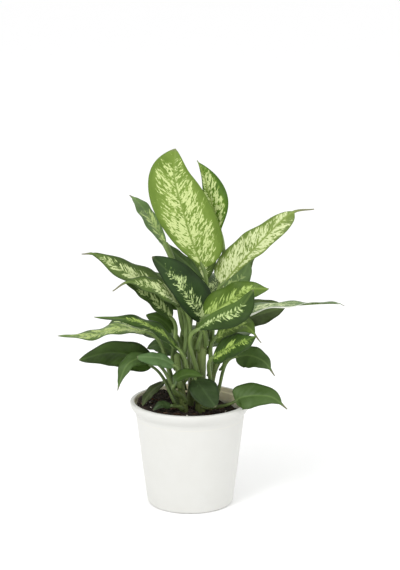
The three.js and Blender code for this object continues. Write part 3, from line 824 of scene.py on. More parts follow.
@dataclass(frozen=True)
class Soil:
    """The potting mix that fills the pot, and the loose grains on it. Millimetres."""

    pot: Pot
    depth: float = 9.5
    slope: float = 0.15
    heap: tuple[float, float, float, float] = (-22.0, 30.0, 2.8, 18.0)  # x, y, rise, spread
    lump: float = 0.9
    cells: int = 150
    fibres: int = 60
    seed: int = 11
    grains: tuple[Grains, ...] = (
        Grains("soil_crumbs", 1500, (0.5, 2.2), (1.0, 1.0, 0.8), 0.3, 1.0,
               GritFinish("peat_crumb", dark="100B08", light="342418", grain=1.2)),
        Grains("bark_chips", 46, (1.2, 3.6), (1.3, 0.8, 0.4), 0.15, 0.25,
               GritFinish("composted_bark", dark="3B281B", light="70543A", grain=1.4, rough=0.85)),
        Grains("perlite_grains", 34, (0.5, 1.4), (1.0, 1.0, 0.9), 0.25, 0.25,
               GritFinish("perlite_white", dark="B9B2A2", light="EDEAE0", grain=0.8)),
    )

    RADIUS = 50.0  # about the bed's own radius at its surface
    ROUGH = (1.1, 0.6)  # height of the bed's coarse and of its fine roughness
    ROUGH_SCALE = (0.22, 0.9)  # and how often per millimetre they come
    ROUGH_LAYERS = (0.9, 2.1, 4)  # the coarse one's fineness, step in scale and number of layers
    REACH = 51.0  # how far from the middle a grain's own middle lies at most
    EDGE = 51.8  # how far its outer side does
    BARE = (-14.0, -30.0)  # left of this x or in front of this y no leaf covers the bed
    FINENESS = 2.2  # power that makes small grains the commonest
    SPIN, LEAN = 6.28, 0.6  # radians, the most that a grain turns and leans
    CORNERS = (0.72, 1.12)  # how far a grain's corners stand out, as shares of its radius
    FIBRE_REACH, FIBRE_BEND = 44.0, 0.8
    FIBRE_LENGTH, FIBRE_RADIUS, FIBRE_LIFT = (4.0, 11.0), (0.16, 0.32), (0.6, 2.0)
    FIBRE_CELLS = (9, 5)  # faces along and round

    def surface(self, x: float, y: float) -> float:
        """Gives the bed's smooth surface, with its slope, heap and low waves.

        Args:
            x: how far to the right.
            y: how far to the back.

        Returns:
            The height there.
        """
        heap_x, heap_y, rise, spread = self.heap
        away = ((x - heap_x) ** 2 + (y - heap_y) ** 2) / (2 * spread ** 2)
        waves = math.sin(0.55 * x + 1.3 * math.sin(0.3 * y)) * math.cos(0.5 * y - 0.21 * x)
        waves += 0.5 * math.sin(0.9 * y + 0.7 * x)
        return self.pot.height - (self.depth + self.slope * x - rise * math.exp(-away)) + self.lump * waves

    def radius(self, z: float) -> float:
        """Gives the soil's radius at height z."""
        neck = self.pot.height - self.pot.lip_depth
        return self.pot.wall_radius(min(z, neck)) - self.pot.wall - GAP

    def build_bed(self) -> None:
        """Models the bed as a closed lump that fills the pot, rough on top."""
        bm = bmesh.new()
        bmesh.ops.create_grid(bm, x_segments=self.cells, y_segments=self.cells, size=1.0)
        top = bm.faces[:]
        for vert in bm.verts:
            x, y = vert.co.x, vert.co.y
            flat = Vector((x * math.sqrt(1 - y * y / 2), y * math.sqrt(1 - x * x / 2), 0.0))
            aim = flat.normalized() * self.RADIUS
            flat *= self.radius(self.surface(aim.x, aim.y))
            rough = self.ROUGH[0] * noise.fractal(flat * self.ROUGH_SCALE[0], *self.ROUGH_LAYERS)
            rough += self.ROUGH[1] * noise.noise(flat * self.ROUGH_SCALE[1])
            rim = smooth(0.9, 1.0, max(abs(x), abs(y)))
            vert.co = Vector((flat.x, flat.y, self.surface(flat.x, flat.y) + rough * (1 - rim))) * MM
        walls = bmesh.ops.extrude_face_region(bm, geom=top, use_keep_orig=True)["geom"]
        floor = self.pot.floor + GAP
        shrink = self.radius(floor) / self.radius(self.pot.height)
        for vert in (g for g in walls if isinstance(g, bmesh.types.BMVert)):
            vert.co = Vector((vert.co.x * shrink, vert.co.y * shrink, floor * MM))
        bmesh.ops.recalc_face_normals(bm, faces=bm.faces[:])
        finish = GritFinish("moist_peat", dark="120D0A", light="3A2A1D", grain=2.2)
        settle(finish_mesh("soil_bed", bm, finish), "soil", "soil")

    def scatter(self, kind: Grains, draw: random.Random) -> None:
        """Scatters one kind of grain on the bed, as one piece.

        Args:
            kind: the grains.
            draw: seeded random numbers.
        """
        bm = bmesh.new()
        placed = 0
        while placed < kind.count:
            reach, turn = self.REACH * math.sqrt(draw.random()), draw.uniform(0, 2 * math.pi)
            x, y = reach * math.cos(turn), reach * math.sin(turn)
            bare = x < self.BARE[0] or y < self.BARE[1]
            if not bare and draw.random() > kind.kept:
                continue
            radius = mix(*kind.size, draw.random() ** self.FINENESS)
            if math.hypot(x, y) + radius > self.EDGE:
                continue
            verts = bmesh.ops.create_icosphere(bm, subdivisions=1, radius=1.0)["verts"]
            spin = Matrix.Rotation(draw.uniform(0, self.SPIN), 3, "Z")
            spin = spin @ Matrix.Rotation(draw.uniform(-self.LEAN, self.LEAN), 3, "X")
            centre = Vector((x, y, self.surface(x, y) + radius * kind.squash[2] * (1 - 2 * kind.sunk)))
            for vert in verts:
                local = vert.co * draw.uniform(*self.CORNERS) * radius * Vector(kind.squash)
                vert.co = (spin @ local + centre) * MM
            placed += 1
        bmesh.ops.recalc_face_normals(bm, faces=bm.faces[:])
        settle(finish_mesh(kind.name, bm, kind.finish, flat=True), "soil")

    def build_fibres(self, draw: random.Random) -> None:
        """Lays thin bent root and peat fibres on the bed, as one piece.

        Args:
            draw: seeded random numbers.
        """
        bm = bmesh.new()
        for _ in range(self.fibres):
            reach, turn = self.FIBRE_REACH * math.sqrt(draw.random()), draw.uniform(0, 2 * math.pi)
            aim, span = draw.uniform(0, 2 * math.pi), draw.uniform(*self.FIBRE_LENGTH)
            points = []
            for run in (0.0, 1 / 3, 2 / 3, 1.0):
                bends = [draw.uniform(-self.FIBRE_BEND, self.FIBRE_BEND) for _ in range(2)]
                x = reach * math.cos(turn) + span * run * math.cos(aim) + bends[0]
                y = reach * math.sin(turn) + span * run * math.sin(aim) + bends[1]
                shrink = min(1.0, self.RADIUS / max(math.hypot(x, y), 1.0))
                x, y = x * shrink, y * shrink
                points.append((x, y, self.surface(x, y) + draw.uniform(*self.FIBRE_LIFT)))
            route, thick = route_through(points), draw.uniform(*self.FIBRE_RADIUS)
            for vert, share, angle in wrap(bm, *self.FIBRE_CELLS):
                radius = thick * MM * math.sqrt(abs(math.sin(math.pi * share)))
                directions = frame_at(route.tangent(share), Vector((0, 0, 1)))
                vert.co = route.point(share) + radius * spoke(directions, angle)
        close_up(bm, bm.verts[:])
        finish = GritFinish("peat_fibre", dark="3A2216", light="7A4C2C", grain=3.0)
        settle(finish_mesh("soil_fibres", bm, finish), "soil")

    def build(self) -> None:
        """Models the bed and everything loose on it."""
        draw = random.Random(self.seed)
        self.build_bed()
        for kind in self.grains:
            self.scatter(kind, draw)
        self.build_fibres(draw)


# ---------------------------------------------------------------- canes


@dataclass(frozen=True)
class Cane:
    """A thick stem that stands in the soil, ringed where old leaves fell. Millimetres."""

    name: str
    route: tuple[Triple, ...]
    radius: Pair
    node_spacing: float = 13.0
    scar: float = 0.2
    scar_width: float = 0.9
    buried: float = 26.0
    tip_height: float = 1.6
    tip_run: float = 2.5  # length over which the top rounds in
    around: int = 28
    along: int = 110

    NEAR = 1e-6  # share of the route to which a height is found

    def curve(self) -> Spline:
        """Gives the middle line, from below the soil to the top."""
        x, y, z = self.route[0]
        return route_through(((x, y, z - self.buried), *self.route))

    def at(self, z: float) -> tuple[Vector, Vector, float]:
        """Finds where the cane is at a height.

        Args:
            z: the height.

        Returns:
            The middle in metres, the direction and the radius in millimetres there.
        """
        curve, low, high = self.curve(), 0.0, 1.0
        while high - low > self.NEAR:
            middle = (low + high) / 2
            if curve.point(middle).z < z * MM:
                low = middle
            else:
                high = middle
        return curve.point(low), curve.tangent(low), mix(*self.radius, low)

    def build(self) -> None:
        """Models the cane as a closed tube with swollen rings and a blunt top."""
        curve = self.curve()
        length = curve.length() / MM
        top = curve.point(1.0) + curve.tangent(1.0) * self.tip_height * MM
        bm = bmesh.new()
        places, shares = [bm.verts.layers.float_vector.new(name) for name in ("place", "share")]
        for vert, share, angle in wrap(bm, self.along, self.around):
            ring = abs((share * length / self.node_spacing + 0.5) % 1 - 0.5) * self.node_spacing
            swell = self.scar * math.exp(-(ring / self.scar_width) ** 2)
            dome = smooth(0.0, 1.0, (share - 1) * length / self.tip_run + 1)
            radius = (mix(*self.radius, share) + swell) * (1 - dome ** 3)
            directions = frame_at(curve.tangent(share), Vector((0, -1, 0.01)))
            vert[places] = (share * length * MM, angle * self.radius[0] * MM, 0.0)
            vert[shares] = (share, 0.0, 0.0)
            vert.co = curve.point(share).lerp(top, dome) + radius * MM * spoke(directions, angle)
        write_maps(bm, places, shares)
        close_up(bm, bm.verts[:])
        settle(finish_mesh(f"{self.name}_stem", bm, CANE_FINISH), "cane", self.name)


# ---------------------------------------------------------------- leaves


@dataclass(frozen=True)
class Leaf:
    """One leaf: its stalk, midrib and blade, grown as one piece. Millimetres.

    The stalk leaves its cane at the height node towards azimuth, in degrees. rib is
    the midrib's route. half is the half width on the minus and the plus side of it,
    and shape the powers of the outline, on the plus side plus_shape where that is
    given. The upper side faces towards face, and at the tip towards face_tip. fold
    is the lift of the halves in degrees, wave the margin's ripple, and drip the
    share of the midrib that is the thin end. neck is the stalk's radius at the
    blade, and splay says how far it leans out of the cane at its foot.
    """

    name: str
    cane: Cane
    marking: Marking
    node: float
    azimuth: float
    rib: tuple[Triple, ...]
    half: Pair
    face: Triple
    shape: Pair = (0.5, 0.8)
    plus_shape: Pair | None = None
    face_tip: Triple | None = None
    fold: float = 8
    wave: float = 1
    drip: float = 0
    neck: float = 1.9
    splay: float = 0.35

    FOOT = 2.6  # the stalk's radius at its foot
    SPLAY = 0.35  # the usual splay, for which the foot keeps its full distance
    RISE, APPROACH = 0.4, 0.32  # how far the stalk keeps its first and its last direction
    BUD = 0.5  # the stalk thins to this share where it leaves the cane
    BUD_SHARE = 0.1
    TAPER = 0.6  # power of the stalk's and the midrib's taper
    SHEATH_END = (0.3, 0.6)  # shares of the stalk between which its sheath dies out
    UNTWIST = (0.1, 0.9)  # and between which its groove turns from the cane to the blade's face
    WINGS = 0.16  # how far the sheath's sides stand out
    GROOVE, SHEATH_GROOVE = 0.2, 0.35  # depth of the stalk's groove, and what the sheath adds to it
    GROOVE_WIDTH = 0.5  # radians
    RIB_SHARE = 0.97  # share of the blade that the midrib runs below
    RIB_END = 0.45  # the midrib's radius at its end
    RIB_SINK = 1.0  # how far it lies below the blade's upper side
    RIB_DIVE = 0.09  # share of it over which it sinks there from the stalk
    RIB_FLAT = 0.8  # its height over its width
    RIB_CLOSE = 0.94  # share of it where its end begins to close
    THIN = 0.94  # where the thin end begins in the finish's pattern
    BLUNT = 0.96  # where a leaf without one ends
    TIP = 0.5  # the least half width
    ROOT = 0.3  # share of TIP that the blade keeps at its foot
    SHOULDER = 1.5  # the thin end's half width where it begins
    SPIKE_START, SPIKE_TAPER = 0.8, 0.7  # share of the blade where it grows in, and its taper's power
    CURL = 0.1  # how far the margins droop, as a share of the half width
    RIPPLES = 3  # waves along each margin
    CHANNEL, CHANNEL_WIDTH = 0.5, 1.5  # depth and width of the dent above the midrib
    SHEET = (0.55, 0.3)  # the blade's thickness at the midrib and at the margin
    BLADE_CELLS = (84, 24)  # faces along and across
    STALK_CELLS = (64, 14)  # faces along and round
    STALK_SHARE = 0.45  # share of the stalk's cells that lie below the blade
    APART = 0.5  # metres between two leaves in the finishes' patterns

    def stalk_route(self, blade: Spline) -> tuple[Bezier, Vector]:
        """Works out how the stalk runs from the cane to the blade.

        Args:
            blade: the midrib's route.

        Returns:
            The stalk's route and the direction in which it leaves the cane.
        """
        centre, axis, size = self.cane.at(self.node)
        turn = math.radians(self.azimuth)
        out = Vector((math.cos(turn), math.sin(turn), 0.0))
        out = (out - out.dot(axis) * axis).normalized()
        reach = self.FOOT / math.hypot(1.0, self.splay - self.SPLAY)
        start = centre + out * (size + reach + GAP) * MM
        end = blade.point(0.0)
        span = (end - start).length
        rise = (axis + out * self.splay).normalized() * span * self.RISE
        approach = blade.tangent(0.0) * span * self.APPROACH
        return Bezier((start, start + rise, end - approach, end)), out

    def facing(self, share: float) -> Vector:
        """Gives the way the upper side faces at that share of the blade."""
        foot = Vector(self.face).normalized()
        return foot.lerp(Vector(self.face_tip or self.face).normalized(), share)

    def half_width(self, share: float, plus: bool) -> float:
        """Gives the blade's outline.

        Args:
            share: how far along the blade without its thin end.
            plus: whether it is the plus side's.

        Returns:
            The half width there.
        """
        foot, end = plus and self.plus_shape or self.shape
        widest = foot / (foot + end)
        peak = widest ** foot * (1 - widest) ** end
        share = min(max(share, 0.0), 1.0)
        outline = self.half[plus] * share ** foot * (1 - share) ** end / peak
        return math.hypot(outline, self.TIP * min(max(share * 2, self.ROOT), 1.0))

    def spike(self, share: float) -> float:
        """Gives the thin end's outline, which tapers from the blade outwards.

        Args:
            share: how far along the midrib.

        Returns:
            The half width there.
        """
        if not self.drip:
            return 0.0
        shoulder = 1 - self.drip
        beyond = max(share - shoulder, 0.0) / self.drip
        width = mix(self.SHOULDER, self.TIP, beyond ** self.SPIKE_TAPER)
        return width * smooth(self.SPIKE_START * shoulder, shoulder, share)

    def pattern_share(self, share: float) -> float:
        """Gives a point's share of the finish's pattern, whose last part is the thin end.

        Args:
            share: how far along the midrib.

        Returns:
            How far along the pattern.
        """
        if not self.drip:
            return share * self.BLUNT
        shoulder = 1 - self.drip
        if share <= shoulder:
            return share / shoulder * self.THIN
        return mix(self.THIN, 1.0, (share - shoulder) / self.drip)

    def surface(self, blade: Spline, share: float, across: float) -> tuple[Vector, Vector, float]:
        """Gives a point of the blade's upper side.

        Args:
            blade: the midrib's route.
            share: how far along the midrib.
            across: -1 at one margin, 1 at the other.

        Returns:
            The point, the up direction there and the distance from the midrib in mm.
        """
        side, up = frame_at(blade.tangent(share), self.facing(share))
        within = min(share / (1 - self.drip), 1.0)
        width = max(self.half_width(within, across > 0), self.spike(share))
        away = abs(across)
        sway = math.sin(2 * math.pi * (self.RIPPLES * within + math.copysign(0.25, across)))
        lift = width * (away * math.tan(math.radians(self.fold)) - self.CURL * away * away)
        lift += self.wave * math.sin(math.pi * within) * sway * away * away
        lift -= self.CHANNEL * math.exp(-(across * width / self.CHANNEL_WIDTH) ** 2) * (1 - share)
        return blade.point(share) + (side * across * width + up * lift) * MM, up, across * width

    def add_blade(self, bm: bmesh.types.BMesh, layers: Sequence, blade: Spline, start: float) -> None:
        """Adds the blade as a thin closed sheet.

        Args:
            bm: the mesh to add to.
            layers: the vertex layers for places, shares and the lower side.
            blade: the midrib's route.
            start: how far along its finish's pattern this leaf begins, in metres.
        """
        places, shares, under = layers
        length = blade.length()
        long, wide = self.BLADE_CELLS
        thickness = {}
        for vert in bmesh.ops.create_grid(bm, x_segments=long, y_segments=wide, size=1.0)["verts"]:
            share = (1 - math.cos(math.pi * (vert.co.x + 1) / 2)) / 2
            across = vert.co.y
            vert.co, up, out = self.surface(blade, share, across)
            vert[places] = (start + share * length, out * MM, 0.0)
            vert[shares] = (self.pattern_share(share), abs(across), 0.0)
            thickness[tuple(vert.co)] = up * mix(*self.SHEET, abs(across)) * MM
        lower = bmesh.ops.extrude_face_region(bm, geom=bm.faces[:], use_keep_orig=True)["geom"]
        for vert in (g for g in lower if isinstance(g, bmesh.types.BMVert)):
            vert.co -= thickness[tuple(vert.co)]
            vert[under] = 1.0

    def stalk_point(self, stalk: Bezier, out: Vector, share: float,
                    angle: float) -> tuple[Vector, float, Vector]:
        """Shapes the stalk, which is grooved, with a sheath at its foot.

        Args:
            stalk: the stalk's route.
            out: the direction in which it leaves the cane.
            share: how far along it.
            angle: the angle round it.

        Returns:
            The middle, the radius in millimetres and the direction from the middle.
        """
        side, up = frame_at(stalk.tangent(0.0), self.facing(0.0))
        twist = math.atan2(out.dot(side), -out.dot(up))  # turns the groove's foot to the cane
        sheath = 1 - smooth(*self.SHEATH_END, share)
        wings = 1 + self.WINGS * sheath * abs(math.cos(angle)) ** 3
        depth = self.GROOVE + self.SHEATH_GROOVE * sheath
        groove = 1 - depth * math.exp(-((angle - math.pi / 2) / self.GROOVE_WIDTH) ** 2)
        budding = mix(self.BUD, 1.0, smooth(0.0, self.BUD_SHARE, share))
        radius = mix(self.FOOT, self.neck, share ** self.TAPER) * wings * groove * budding
        centre = stalk.point(share) - out * self.FOOT * (1 - budding) * MM
        directions = frame_at(stalk.tangent(share), self.facing(0.0))
        return centre, radius, spoke(directions, angle + twist * (1 - smooth(*self.UNTWIST, share)))

    def rib_point(self, blade: Spline, share: float, angle: float) -> tuple[Vector, float, Vector]:
        """Shapes the midrib, which sinks below the blade and tapers to its end.

        Args:
            blade: the midrib's route.
            share: how far along the part of it that is raised.
            angle: the angle round it.

        Returns:
            The middle, the radius in millimetres and the direction from the middle.
        """
        place = share * self.raised()
        side, up = frame_at(blade.tangent(place), self.facing(place))
        radius = mix(self.neck, self.RIB_END, share ** self.TAPER) * (1 - smooth(self.RIB_CLOSE, 1.0, share))
        sunk = smooth(0.0, self.RIB_DIVE, share)
        up *= mix(1.0, self.RIB_FLAT, sunk)
        centre = blade.point(place) - up * (radius + self.RIB_SINK) * sunk * MM
        return centre, radius, spoke((side, up), angle)

    def raised(self) -> float:
        """Gives the share of the midrib's route along which it is raised below the blade."""
        return self.RIB_SHARE * (1 - self.drip)

    def add_stalk(self, bm: bmesh.types.BMesh, layers: Sequence, blade: Spline) -> list[bmesh.types.BMVert]:
        """Adds the stalk and the midrib that it becomes.

        Args:
            bm: the mesh to add to.
            layers: the vertex layers for places, shares and the lower side.
            blade: the midrib's route.

        Returns:
            Their vertices.
        """
        stalk, out = self.stalk_route(blade)
        stalk_length, raised_length = stalk.length(), self.raised() * blade.length()
        added = wrap(bm, *self.STALK_CELLS)
        for vert, share, angle in added:
            if share <= self.STALK_SHARE:
                part = share / self.STALK_SHARE
                run = part * stalk_length
                centre, radius, direction = self.stalk_point(stalk, out, part, angle)
            else:
                part = (share - self.STALK_SHARE) / (1 - self.STALK_SHARE)
                run = stalk_length + part * raised_length
                centre, radius, direction = self.rib_point(blade, part, angle)
            vert[layers[0]] = (run, angle * radius * MM, 0.0)
            vert.co = centre + radius * MM * direction
        return [vert for vert, _, _ in added]

    def build(self, start: float) -> None:
        """Models the leaf as one piece in two closed shells that grow into each other.

        Args:
            start: how far along its finish's pattern this leaf begins, in metres.
        """
        bm = bmesh.new()
        layers = [bm.verts.layers.float_vector.new("place"), bm.verts.layers.float_vector.new("share"),
                  bm.verts.layers.float.new(UNDER)]
        blade = route_through(self.rib)
        self.add_blade(bm, layers, blade, start)
        stalk = self.add_stalk(bm, layers, blade)
        for face in {face for vert in stalk for face in vert.link_faces}:
            face.material_index = 1
        write_maps(bm, *layers[:2])
        close_up(bm, stalk)
        finish = self.marking.value
        settle(finish_mesh(f"{self.name}_blade", bm, finish, STALK_FINISH), finish.slot, self.name)


MAIN = Cane("cane_main", ((10, -4, 92), (11, -3, 150), (13, -2, 176)), (5.4, 4.6))
MIDDLE = Cane("cane_middle", ((-1, 9, 92), (3, 10, 129), (4, 10, 166)), (4.4, 3.6))
LEFT = Cane("cane_left", ((-5, -12, 92), (-10, -13, 128), (-13, -12, 154)), (4.2, 3.2))
RIGHT = Cane("cane_right", ((18, 5, 90), (22, 5, 128), (30, 5, 148)), (4.2, 3.2))
BACK = Cane("cane_back", ((2, 27, 92), (1, 29, 130), (-1, 31, 160)), (4.6, 3.6))

LEAVES = (
    Leaf("leaf_crown", MAIN, Marking.CROWN, 170, 110,
         ((13, -8, 240), (2, -11, 268), (-7, -12, 299), (-15, -7, 329), (-14, 2, 356)), (27.5, 30),
         (0, -1, 0.3), shape=(1.15, 0.72), plus_shape=(0.35, 0.86), wave=1.5),
    Leaf("leaf_crown_behind", MAIN, Marking.YOUNG, 160, 70,
         ((30, 5, 272), (25, 7, 289), (20, 10, 305), (15, 14, 323), (10, 18, 336), (7, 20, 342)), (7, 17.5),
         (-0.2, -0.95, 0.25), shape=(0.9, 2.3), plus_shape=(1.5, 2.3), fold=10),
    Leaf("leaf_upper_left", MIDDLE, Marking.SOFT, 160, 180,
         ((-24, 2, 262), (-34, 5, 279), (-43, 7, 293), (-51, 9, 303), (-59, 12, 309)), (11.5, 8.5),
         (0.6, -0.6, 0.5), shape=(0.6, 0.8), fold=14, drip=0.08, neck=3.2),
    Leaf("leaf_upper_inner", MIDDLE, Marking.PLAIN, 150, 60,
         ((13, 17, 221), (-2, 16, 239), (-15, 15, 251), (-27, 15, 263)), (7, 6), (0.4, -0.75, 0.5), wave=0.8),
    Leaf("leaf_upper_right", MAIN, Marking.PALE, 152, 30,
         ((31, -6, 223), (53, -14, 251), (73, -20, 274), (97, -22, 297), (119, -22, 301)), (21.5, 12),
         (-0.4, -0.8, 0.4), shape=(0.22, 0.82), plus_shape=(1.2, 0.4), wave=1.5, drip=0.22),
    Leaf("leaf_right_back", BACK, Marking.SOFT, 156, 328,
         ((36, 28, 209), (46, 32, 217), (54, 36, 226), (59, 40, 238)), (12, 12), (-0.3, -0.7, 0.6),
         shape=(0.55, 0.9), fold=10),
    Leaf("leaf_left_upper", LEFT, Marking.FLECKED, 150, 20,
         ((-15, -8, 207), (-40, -16, 225), (-64, -22, 241), (-89, -26, 257), (-104, -26, 258)), (12, 19),
         (0.4, -0.57, 0.7), shape=(1.5, 1.3), plus_shape=(0.5, 1.3), wave=1.5, drip=0.15),
    Leaf("leaf_left_front", MAIN, Marking.FLECKED, 140, 215,
         ((-9, -22, 207), (-25, -34, 222), (-43, -44, 231), (-59, -52, 236), (-73, -56, 228)), (9, 15),
         (0.25, -0.6, 0.75), shape=(0.4, 1), wave=1.5, drip=0.22),
    Leaf("leaf_left_under", LEFT, Marking.STREAKED, 138, 130,
         ((-18, -4, 189), (-31, -9, 204), (-47, -14, 218), (-62, -20, 228)), (7, 13), (0.35, -0.75, 0.55),
         shape=(0.5, 0.9), wave=1.5),
    Leaf("leaf_dark_centre", MAIN, Marking.BANDED, 156, 240,
         ((13, -15, 189), (1, -25, 212), (-17, -32, 238), (-36, -34, 257)), (12, 22), (0.25, -0.9, 0.35),
         shape=(0.5, 0.7), plus_shape=(0.35, 0.75)),
    Leaf("leaf_bright_right", MAIN, Marking.BRIGHT, 160, 300,
         ((15, -34, 198), (36, -42, 214), (55, -50, 228), (75, -54, 230)), (18, 16), (-0.3, -0.75, 0.6),
         shape=(0.3, 1.1), plus_shape=(0.4, 0.8), wave=1.5),
    Leaf("leaf_front_dark", MAIN, Marking.HALVED, 130, 250,
         ((6, -36, 185), (27, -50, 200), (47, -62, 213), (60, -68, 232)), (8, 14), (0.2, -0.85, 0.5),
         shape=(0.55, 0.7), plus_shape=(1.2, 1)),
    Leaf("leaf_long_right", RIGHT, Marking.EDGED, 136, 350,
         ((42, 4, 190), (73, -3, 201), (107, -12, 206), (140, -20, 209), (150, -22, 206)), (15, 15),
         (0, -0.25, 1), shape=(0.4, 1.6), face_tip=(0, 0.35, 1), fold=5, wave=1.5, drip=0.12),
    Leaf("leaf_right_under", RIGHT, Marking.SHADED, 128, 80,
         ((47, 16, 181), (63, 22, 185), (80, 28, 189), (96, 32, 193)), (17, 12), (0.1, -0.75, 0.65)),
    Leaf("leaf_right_mid", MAIN, Marking.BRIGHT, 130, 8,
         ((25, -12, 171), (40, -20, 183), (55, -28, 187), (69, -34, 172)), (16, 16), (0, -0.5, 0.85),
         shape=(0.5, 0.75), face_tip=(0.5, -0.5, 0.6), drip=0.15),
    Leaf("leaf_right_front", MAIN, Marking.LIMED, 112, 335,
         ((22, -34, 157), (37, -51, 172), (51, -64, 181), (63, -70, 188)), (14, 15), (-0.1, -0.7, 0.7),
         shape=(0.6, 1.5), plus_shape=(0.5, 0.8)),
    Leaf("leaf_right_low", RIGHT, Marking.PLAIN, 106, 330,
         ((45, -8, 151), (59, -14, 154), (73, -20, 149), (83, -24, 136)), (11, 14), (0.1, -0.75, 0.6),
         shape=(0.5, 0.75), face_tip=(0.5, -0.7, 0.5), fold=6, drip=0.15, neck=1.35),
    Leaf("leaf_over_rim", MAIN, Marking.PLAIN, 100, 290,
         ((44, -30, 112), (50, -33, 117), (63, -37, 120), (80, -44, 120), (94, -50, 110)), (14, 14),
         (0.1, -0.75, 0.65), shape=(0.5, 0.75), fold=6, wave=0.8, drip=0.1, neck=1.4, splay=5),
    Leaf("leaf_front_low", MAIN, Marking.DUSKY, 104, 250,
         ((5, -20, 132), (10, -33, 129), (17, -42, 121), (25, -49, 112)), (15, 13), (0.1, -0.7, 0.7),
         shape=(0.5, 0.65), plus_shape=(0.65, 0.65), fold=4, wave=0.6),
    Leaf("leaf_left_low", LEFT, Marking.DARK, 102, 192,
         ((-38, 0, 139), (-57, 4, 149), (-82, 8, 151), (-111, 10, 143)), (19, 17), (0.1, -0.6, 0.8), fold=6,
         neck=1.35),
    Leaf("leaf_left_arch", LEFT, Marking.PLAIN, 113, 222,
         ((-39, -27, 152), (-51, -30, 155), (-61, -35, 150), (-67, -40, 138), (-70, -44, 127)), (8, 9),
         (0, -0.6, 0.8), face_tip=(-0.7, -0.5, 0.4), drip=0.1, neck=1.35),
    Leaf("leaf_left_pale", LEFT, Marking.BLUISH, 121, 268,
         ((-15, -26, 147), (-26, -32, 155), (-37, -36, 158), (-51, -38, 159)), (9, 6), (0.1, -0.75, 0.65),
         shape=(0.45, 0.55), plus_shape=(0.5, 0.6), fold=6, wave=0.8),
    Leaf("leaf_left_long", LEFT, Marking.LIME, 120, 150,
         ((-43, -4, 175), (-70, -10, 181), (-98, -16, 175), (-129, -22, 176)), (15, 15), (0, -0.1, 1),
         shape=(0.5, 0.9), fold=5, wave=1.5),
    Leaf("leaf_left_behind", BACK, Marking.STREAKED, 126, 200,
         ((-38, 28, 168), (-57, 32, 174), (-75, 36, 174), (-89, 38, 162)), (13, 13), (0, -0.4, 0.9),
         shape=(0.5, 0.9), fold=6),
    Leaf("leaf_left_mid", LEFT, Marking.LIMED, 126, 330,
         ((-11, -24, 163), (-29, -34, 183), (-55, -44, 197), (-91, -52, 202)), (11, 15), (0.3, -0.3, 0.9),
         shape=(0.5, 0.9), plus_shape=(0.35, 1.2), fold=6, wave=1.5),
    Leaf("leaf_left_shaded", MIDDLE, Marking.DARK, 124, 150,
         ((-17, 12, 172), (-25, 13, 181), (-33, 14, 186), (-44, 15, 188)), (13, 8), (0, -0.7, 0.7), fold=6,
         wave=0.6),
    Leaf("leaf_left_inner", MIDDLE, Marking.PLAIN, 112, 200,
         ((-14, 4, 152), (-24, 7, 156), (-34, 9, 159), (-43, 10, 155)), (10, 10), (0, -0.5, 0.85), fold=6,
         wave=0.6, neck=1.35),
    Leaf("leaf_front_small", LEFT, Marking.DARK, 106, 292,
         ((-16, -35, 129), (-12, -40, 138), (-1, -44, 143), (13, -46, 142)), (9, 5), (-0.2, -0.6, 0.8),
         fold=6, wave=0.5),
    Leaf("leaf_pot_left", LEFT, Marking.DULL, 102, 140,
         ((-26, 2, 123), (-36, -6, 118), (-43, -12, 111), (-47, -18, 104)), (6, 6), (-0.4, -0.6, 0.7), fold=6,
         wave=0.5),
    Leaf("leaf_pot_front", LEFT, Marking.DUSKY, 100, 255,
         ((-18, -25, 106), (-24, -28, 108), (-29, -31, 109), (-36, -33, 104)), (5, 5), (0, -0.6, 0.8),
         shape=(0.5, 0.7), fold=5, wave=0.4),
    Leaf("leaf_back_left", BACK, Marking.STREAKED, 140, 127,
         ((-10, 46, 186), (-20, 66, 200), (-30, 90, 206), (-38, 118, 200)), (20, 20), (0, -0.2, 1), wave=1.5),
    Leaf("leaf_back_right", BACK, Marking.STREAKED, 136, 60,
         ((14, 46, 192), (26, 68, 206), (36, 92, 212), (44, 118, 206)), (20, 20), (0, -0.2, 1), wave=1.5),
    Leaf("leaf_back_high", BACK, Marking.FLECKED, 158, 90,
         ((8, 44, 214), (12, 54, 238), (12, 70, 258), (8, 92, 270)), (15, 15), (0, -0.8, 0.6), wave=1.5),
    Leaf("leaf_back_low", BACK, Marking.DARK, 112, 95,
         ((6, 52, 148), (8, 72, 158), (8, 94, 158), (6, 116, 148)), (17, 17), (0, -0.1, 1)),
    Leaf("leaf_back_upper_left", BACK, Marking.FLECKED, 150, 172,
         ((-4, 42, 194), (-23, 62, 205), (-44, 82, 212), (-67, 100, 213)), (18, 18), (0.2, -0.3, 0.9),
         shape=(0.5, 0.85), wave=1.5),
    Leaf("leaf_back_upper_right", BACK, Marking.FLECKED, 150, 15,
         ((32, 40, 206), (44, 56, 221), (55, 72, 232), (64, 86, 238)), (14, 14), (-0.3, -0.6, 0.75),
         wave=1.5),
    Leaf("leaf_back_low_right", BACK, Marking.PLAIN, 116, 45,
         ((22, 44, 149), (39, 62, 154), (53, 80, 155), (66, 96, 151)), (15, 15), (0, -0.15, 1), fold=6),
    Leaf("leaf_back_low_left", BACK, Marking.PLAIN, 118, 155,
         ((-15, 46, 152), (-33, 62, 159), (-53, 80, 159), (-73, 96, 156)), (16, 16), (0, -0.15, 1), fold=6),
)


# ---------------------------------------------------------------- studio


@dataclass(frozen=True)
class Light:
    """One soft square light. Metres and watts."""

    name: str
    place: Triple
    aim: Triple
    size: float
    power: float

    def build(self) -> None:
        """Hangs the light and turns it to its aim."""
        data = bpy.data.lights.new(self.name, "AREA")
        data.shape = "SQUARE"
        data.size = self.size
        data.energy = self.power
        light = bpy.data.objects.new(self.name, data)
        light.location = self.place
        light.rotation_euler = (Vector(self.place) - Vector(self.aim)).to_track_quat("Z", "Y").to_euler()
        bpy.context.collection.objects.link(light)


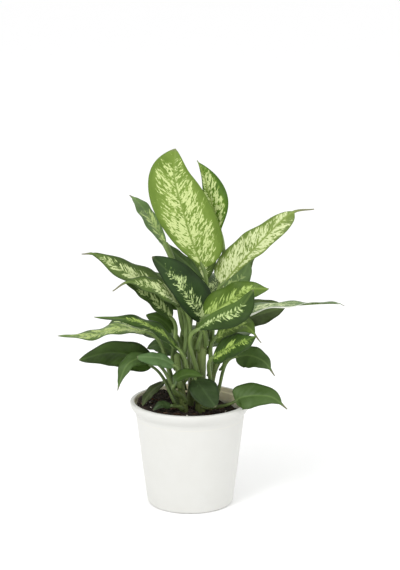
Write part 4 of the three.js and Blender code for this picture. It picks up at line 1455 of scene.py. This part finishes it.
@dataclass(frozen=True)
class Studio:
    """The pale floor, the soft lights and the camera. Metres, and millimetres in the camera."""

    floor_size: float = 60.0
    camera_place: Triple = (0.009767, -1.53896, 0.55734)
    camera_tilt: float = 77.7
    lens: float = 67.6
    sensor: float = 24.0
    sight: float = 200.0
    glow: float = 1.04  # strength of the white surroundings
    lights: tuple[Light, ...] = (
        Light("key_light", (-1.1, -1.5, 1.7), (0, 0, 0.22), 0.9, 24.0),
        Light("fill_light", (1.6, -1.0, 1.0), (0, 0, 0.2), 1.2, 7.0),
    )

    def build_camera(self) -> None:
        """Stands the camera where the photograph was taken from."""
        data = bpy.data.cameras.new("camera")
        data.sensor_fit = "VERTICAL"
        data.sensor_height = self.sensor
        data.lens = self.lens
        data.clip_end = self.sight
        camera = bpy.data.objects.new("camera", data)
        camera.location = self.camera_place
        camera.rotation_euler = (math.radians(self.camera_tilt), 0.0, 0.0)
        bpy.context.collection.objects.link(camera)
        bpy.context.scene.camera = camera

    def build_floor(self) -> None:
        """Lays the floor."""
        bm = bmesh.new()
        bmesh.ops.create_grid(bm, x_segments=1, y_segments=1, size=self.floor_size / 2)
        finish_mesh("studio_floor", bm, PaperFinish())

    def build_air(self) -> None:
        """Surrounds it all with even white light."""
        world = bpy.data.worlds.new("studio_air")
        world.use_nodes = True
        plug(world.node_tree.nodes["Background"], {0: (1.0, 1.0, 1.0, 1.0), 1: self.glow})
        bpy.context.scene.world = world
        bpy.context.scene.view_settings.view_transform = "Standard"

    def build(self) -> None:
        """Sets the whole studio up."""
        self.build_camera()
        self.build_floor()
        self.build_air()
        for light in self.lights:
            light.build()


def main() -> None:
    """Builds the studio and the plant, piece by piece."""
    logging.basicConfig(level=logging.INFO, format="%(message)s")
    Studio().build()
    pot = Pot()
    pot.build()
    Soil(pot).build()
    for cane in (MAIN, MIDDLE, LEFT, RIGHT, BACK):
        cane.build()
    for index, leaf in enumerate(LEAVES):
        leaf.build(Leaf.APART * index)


if __name__ == "__main__":
    main()
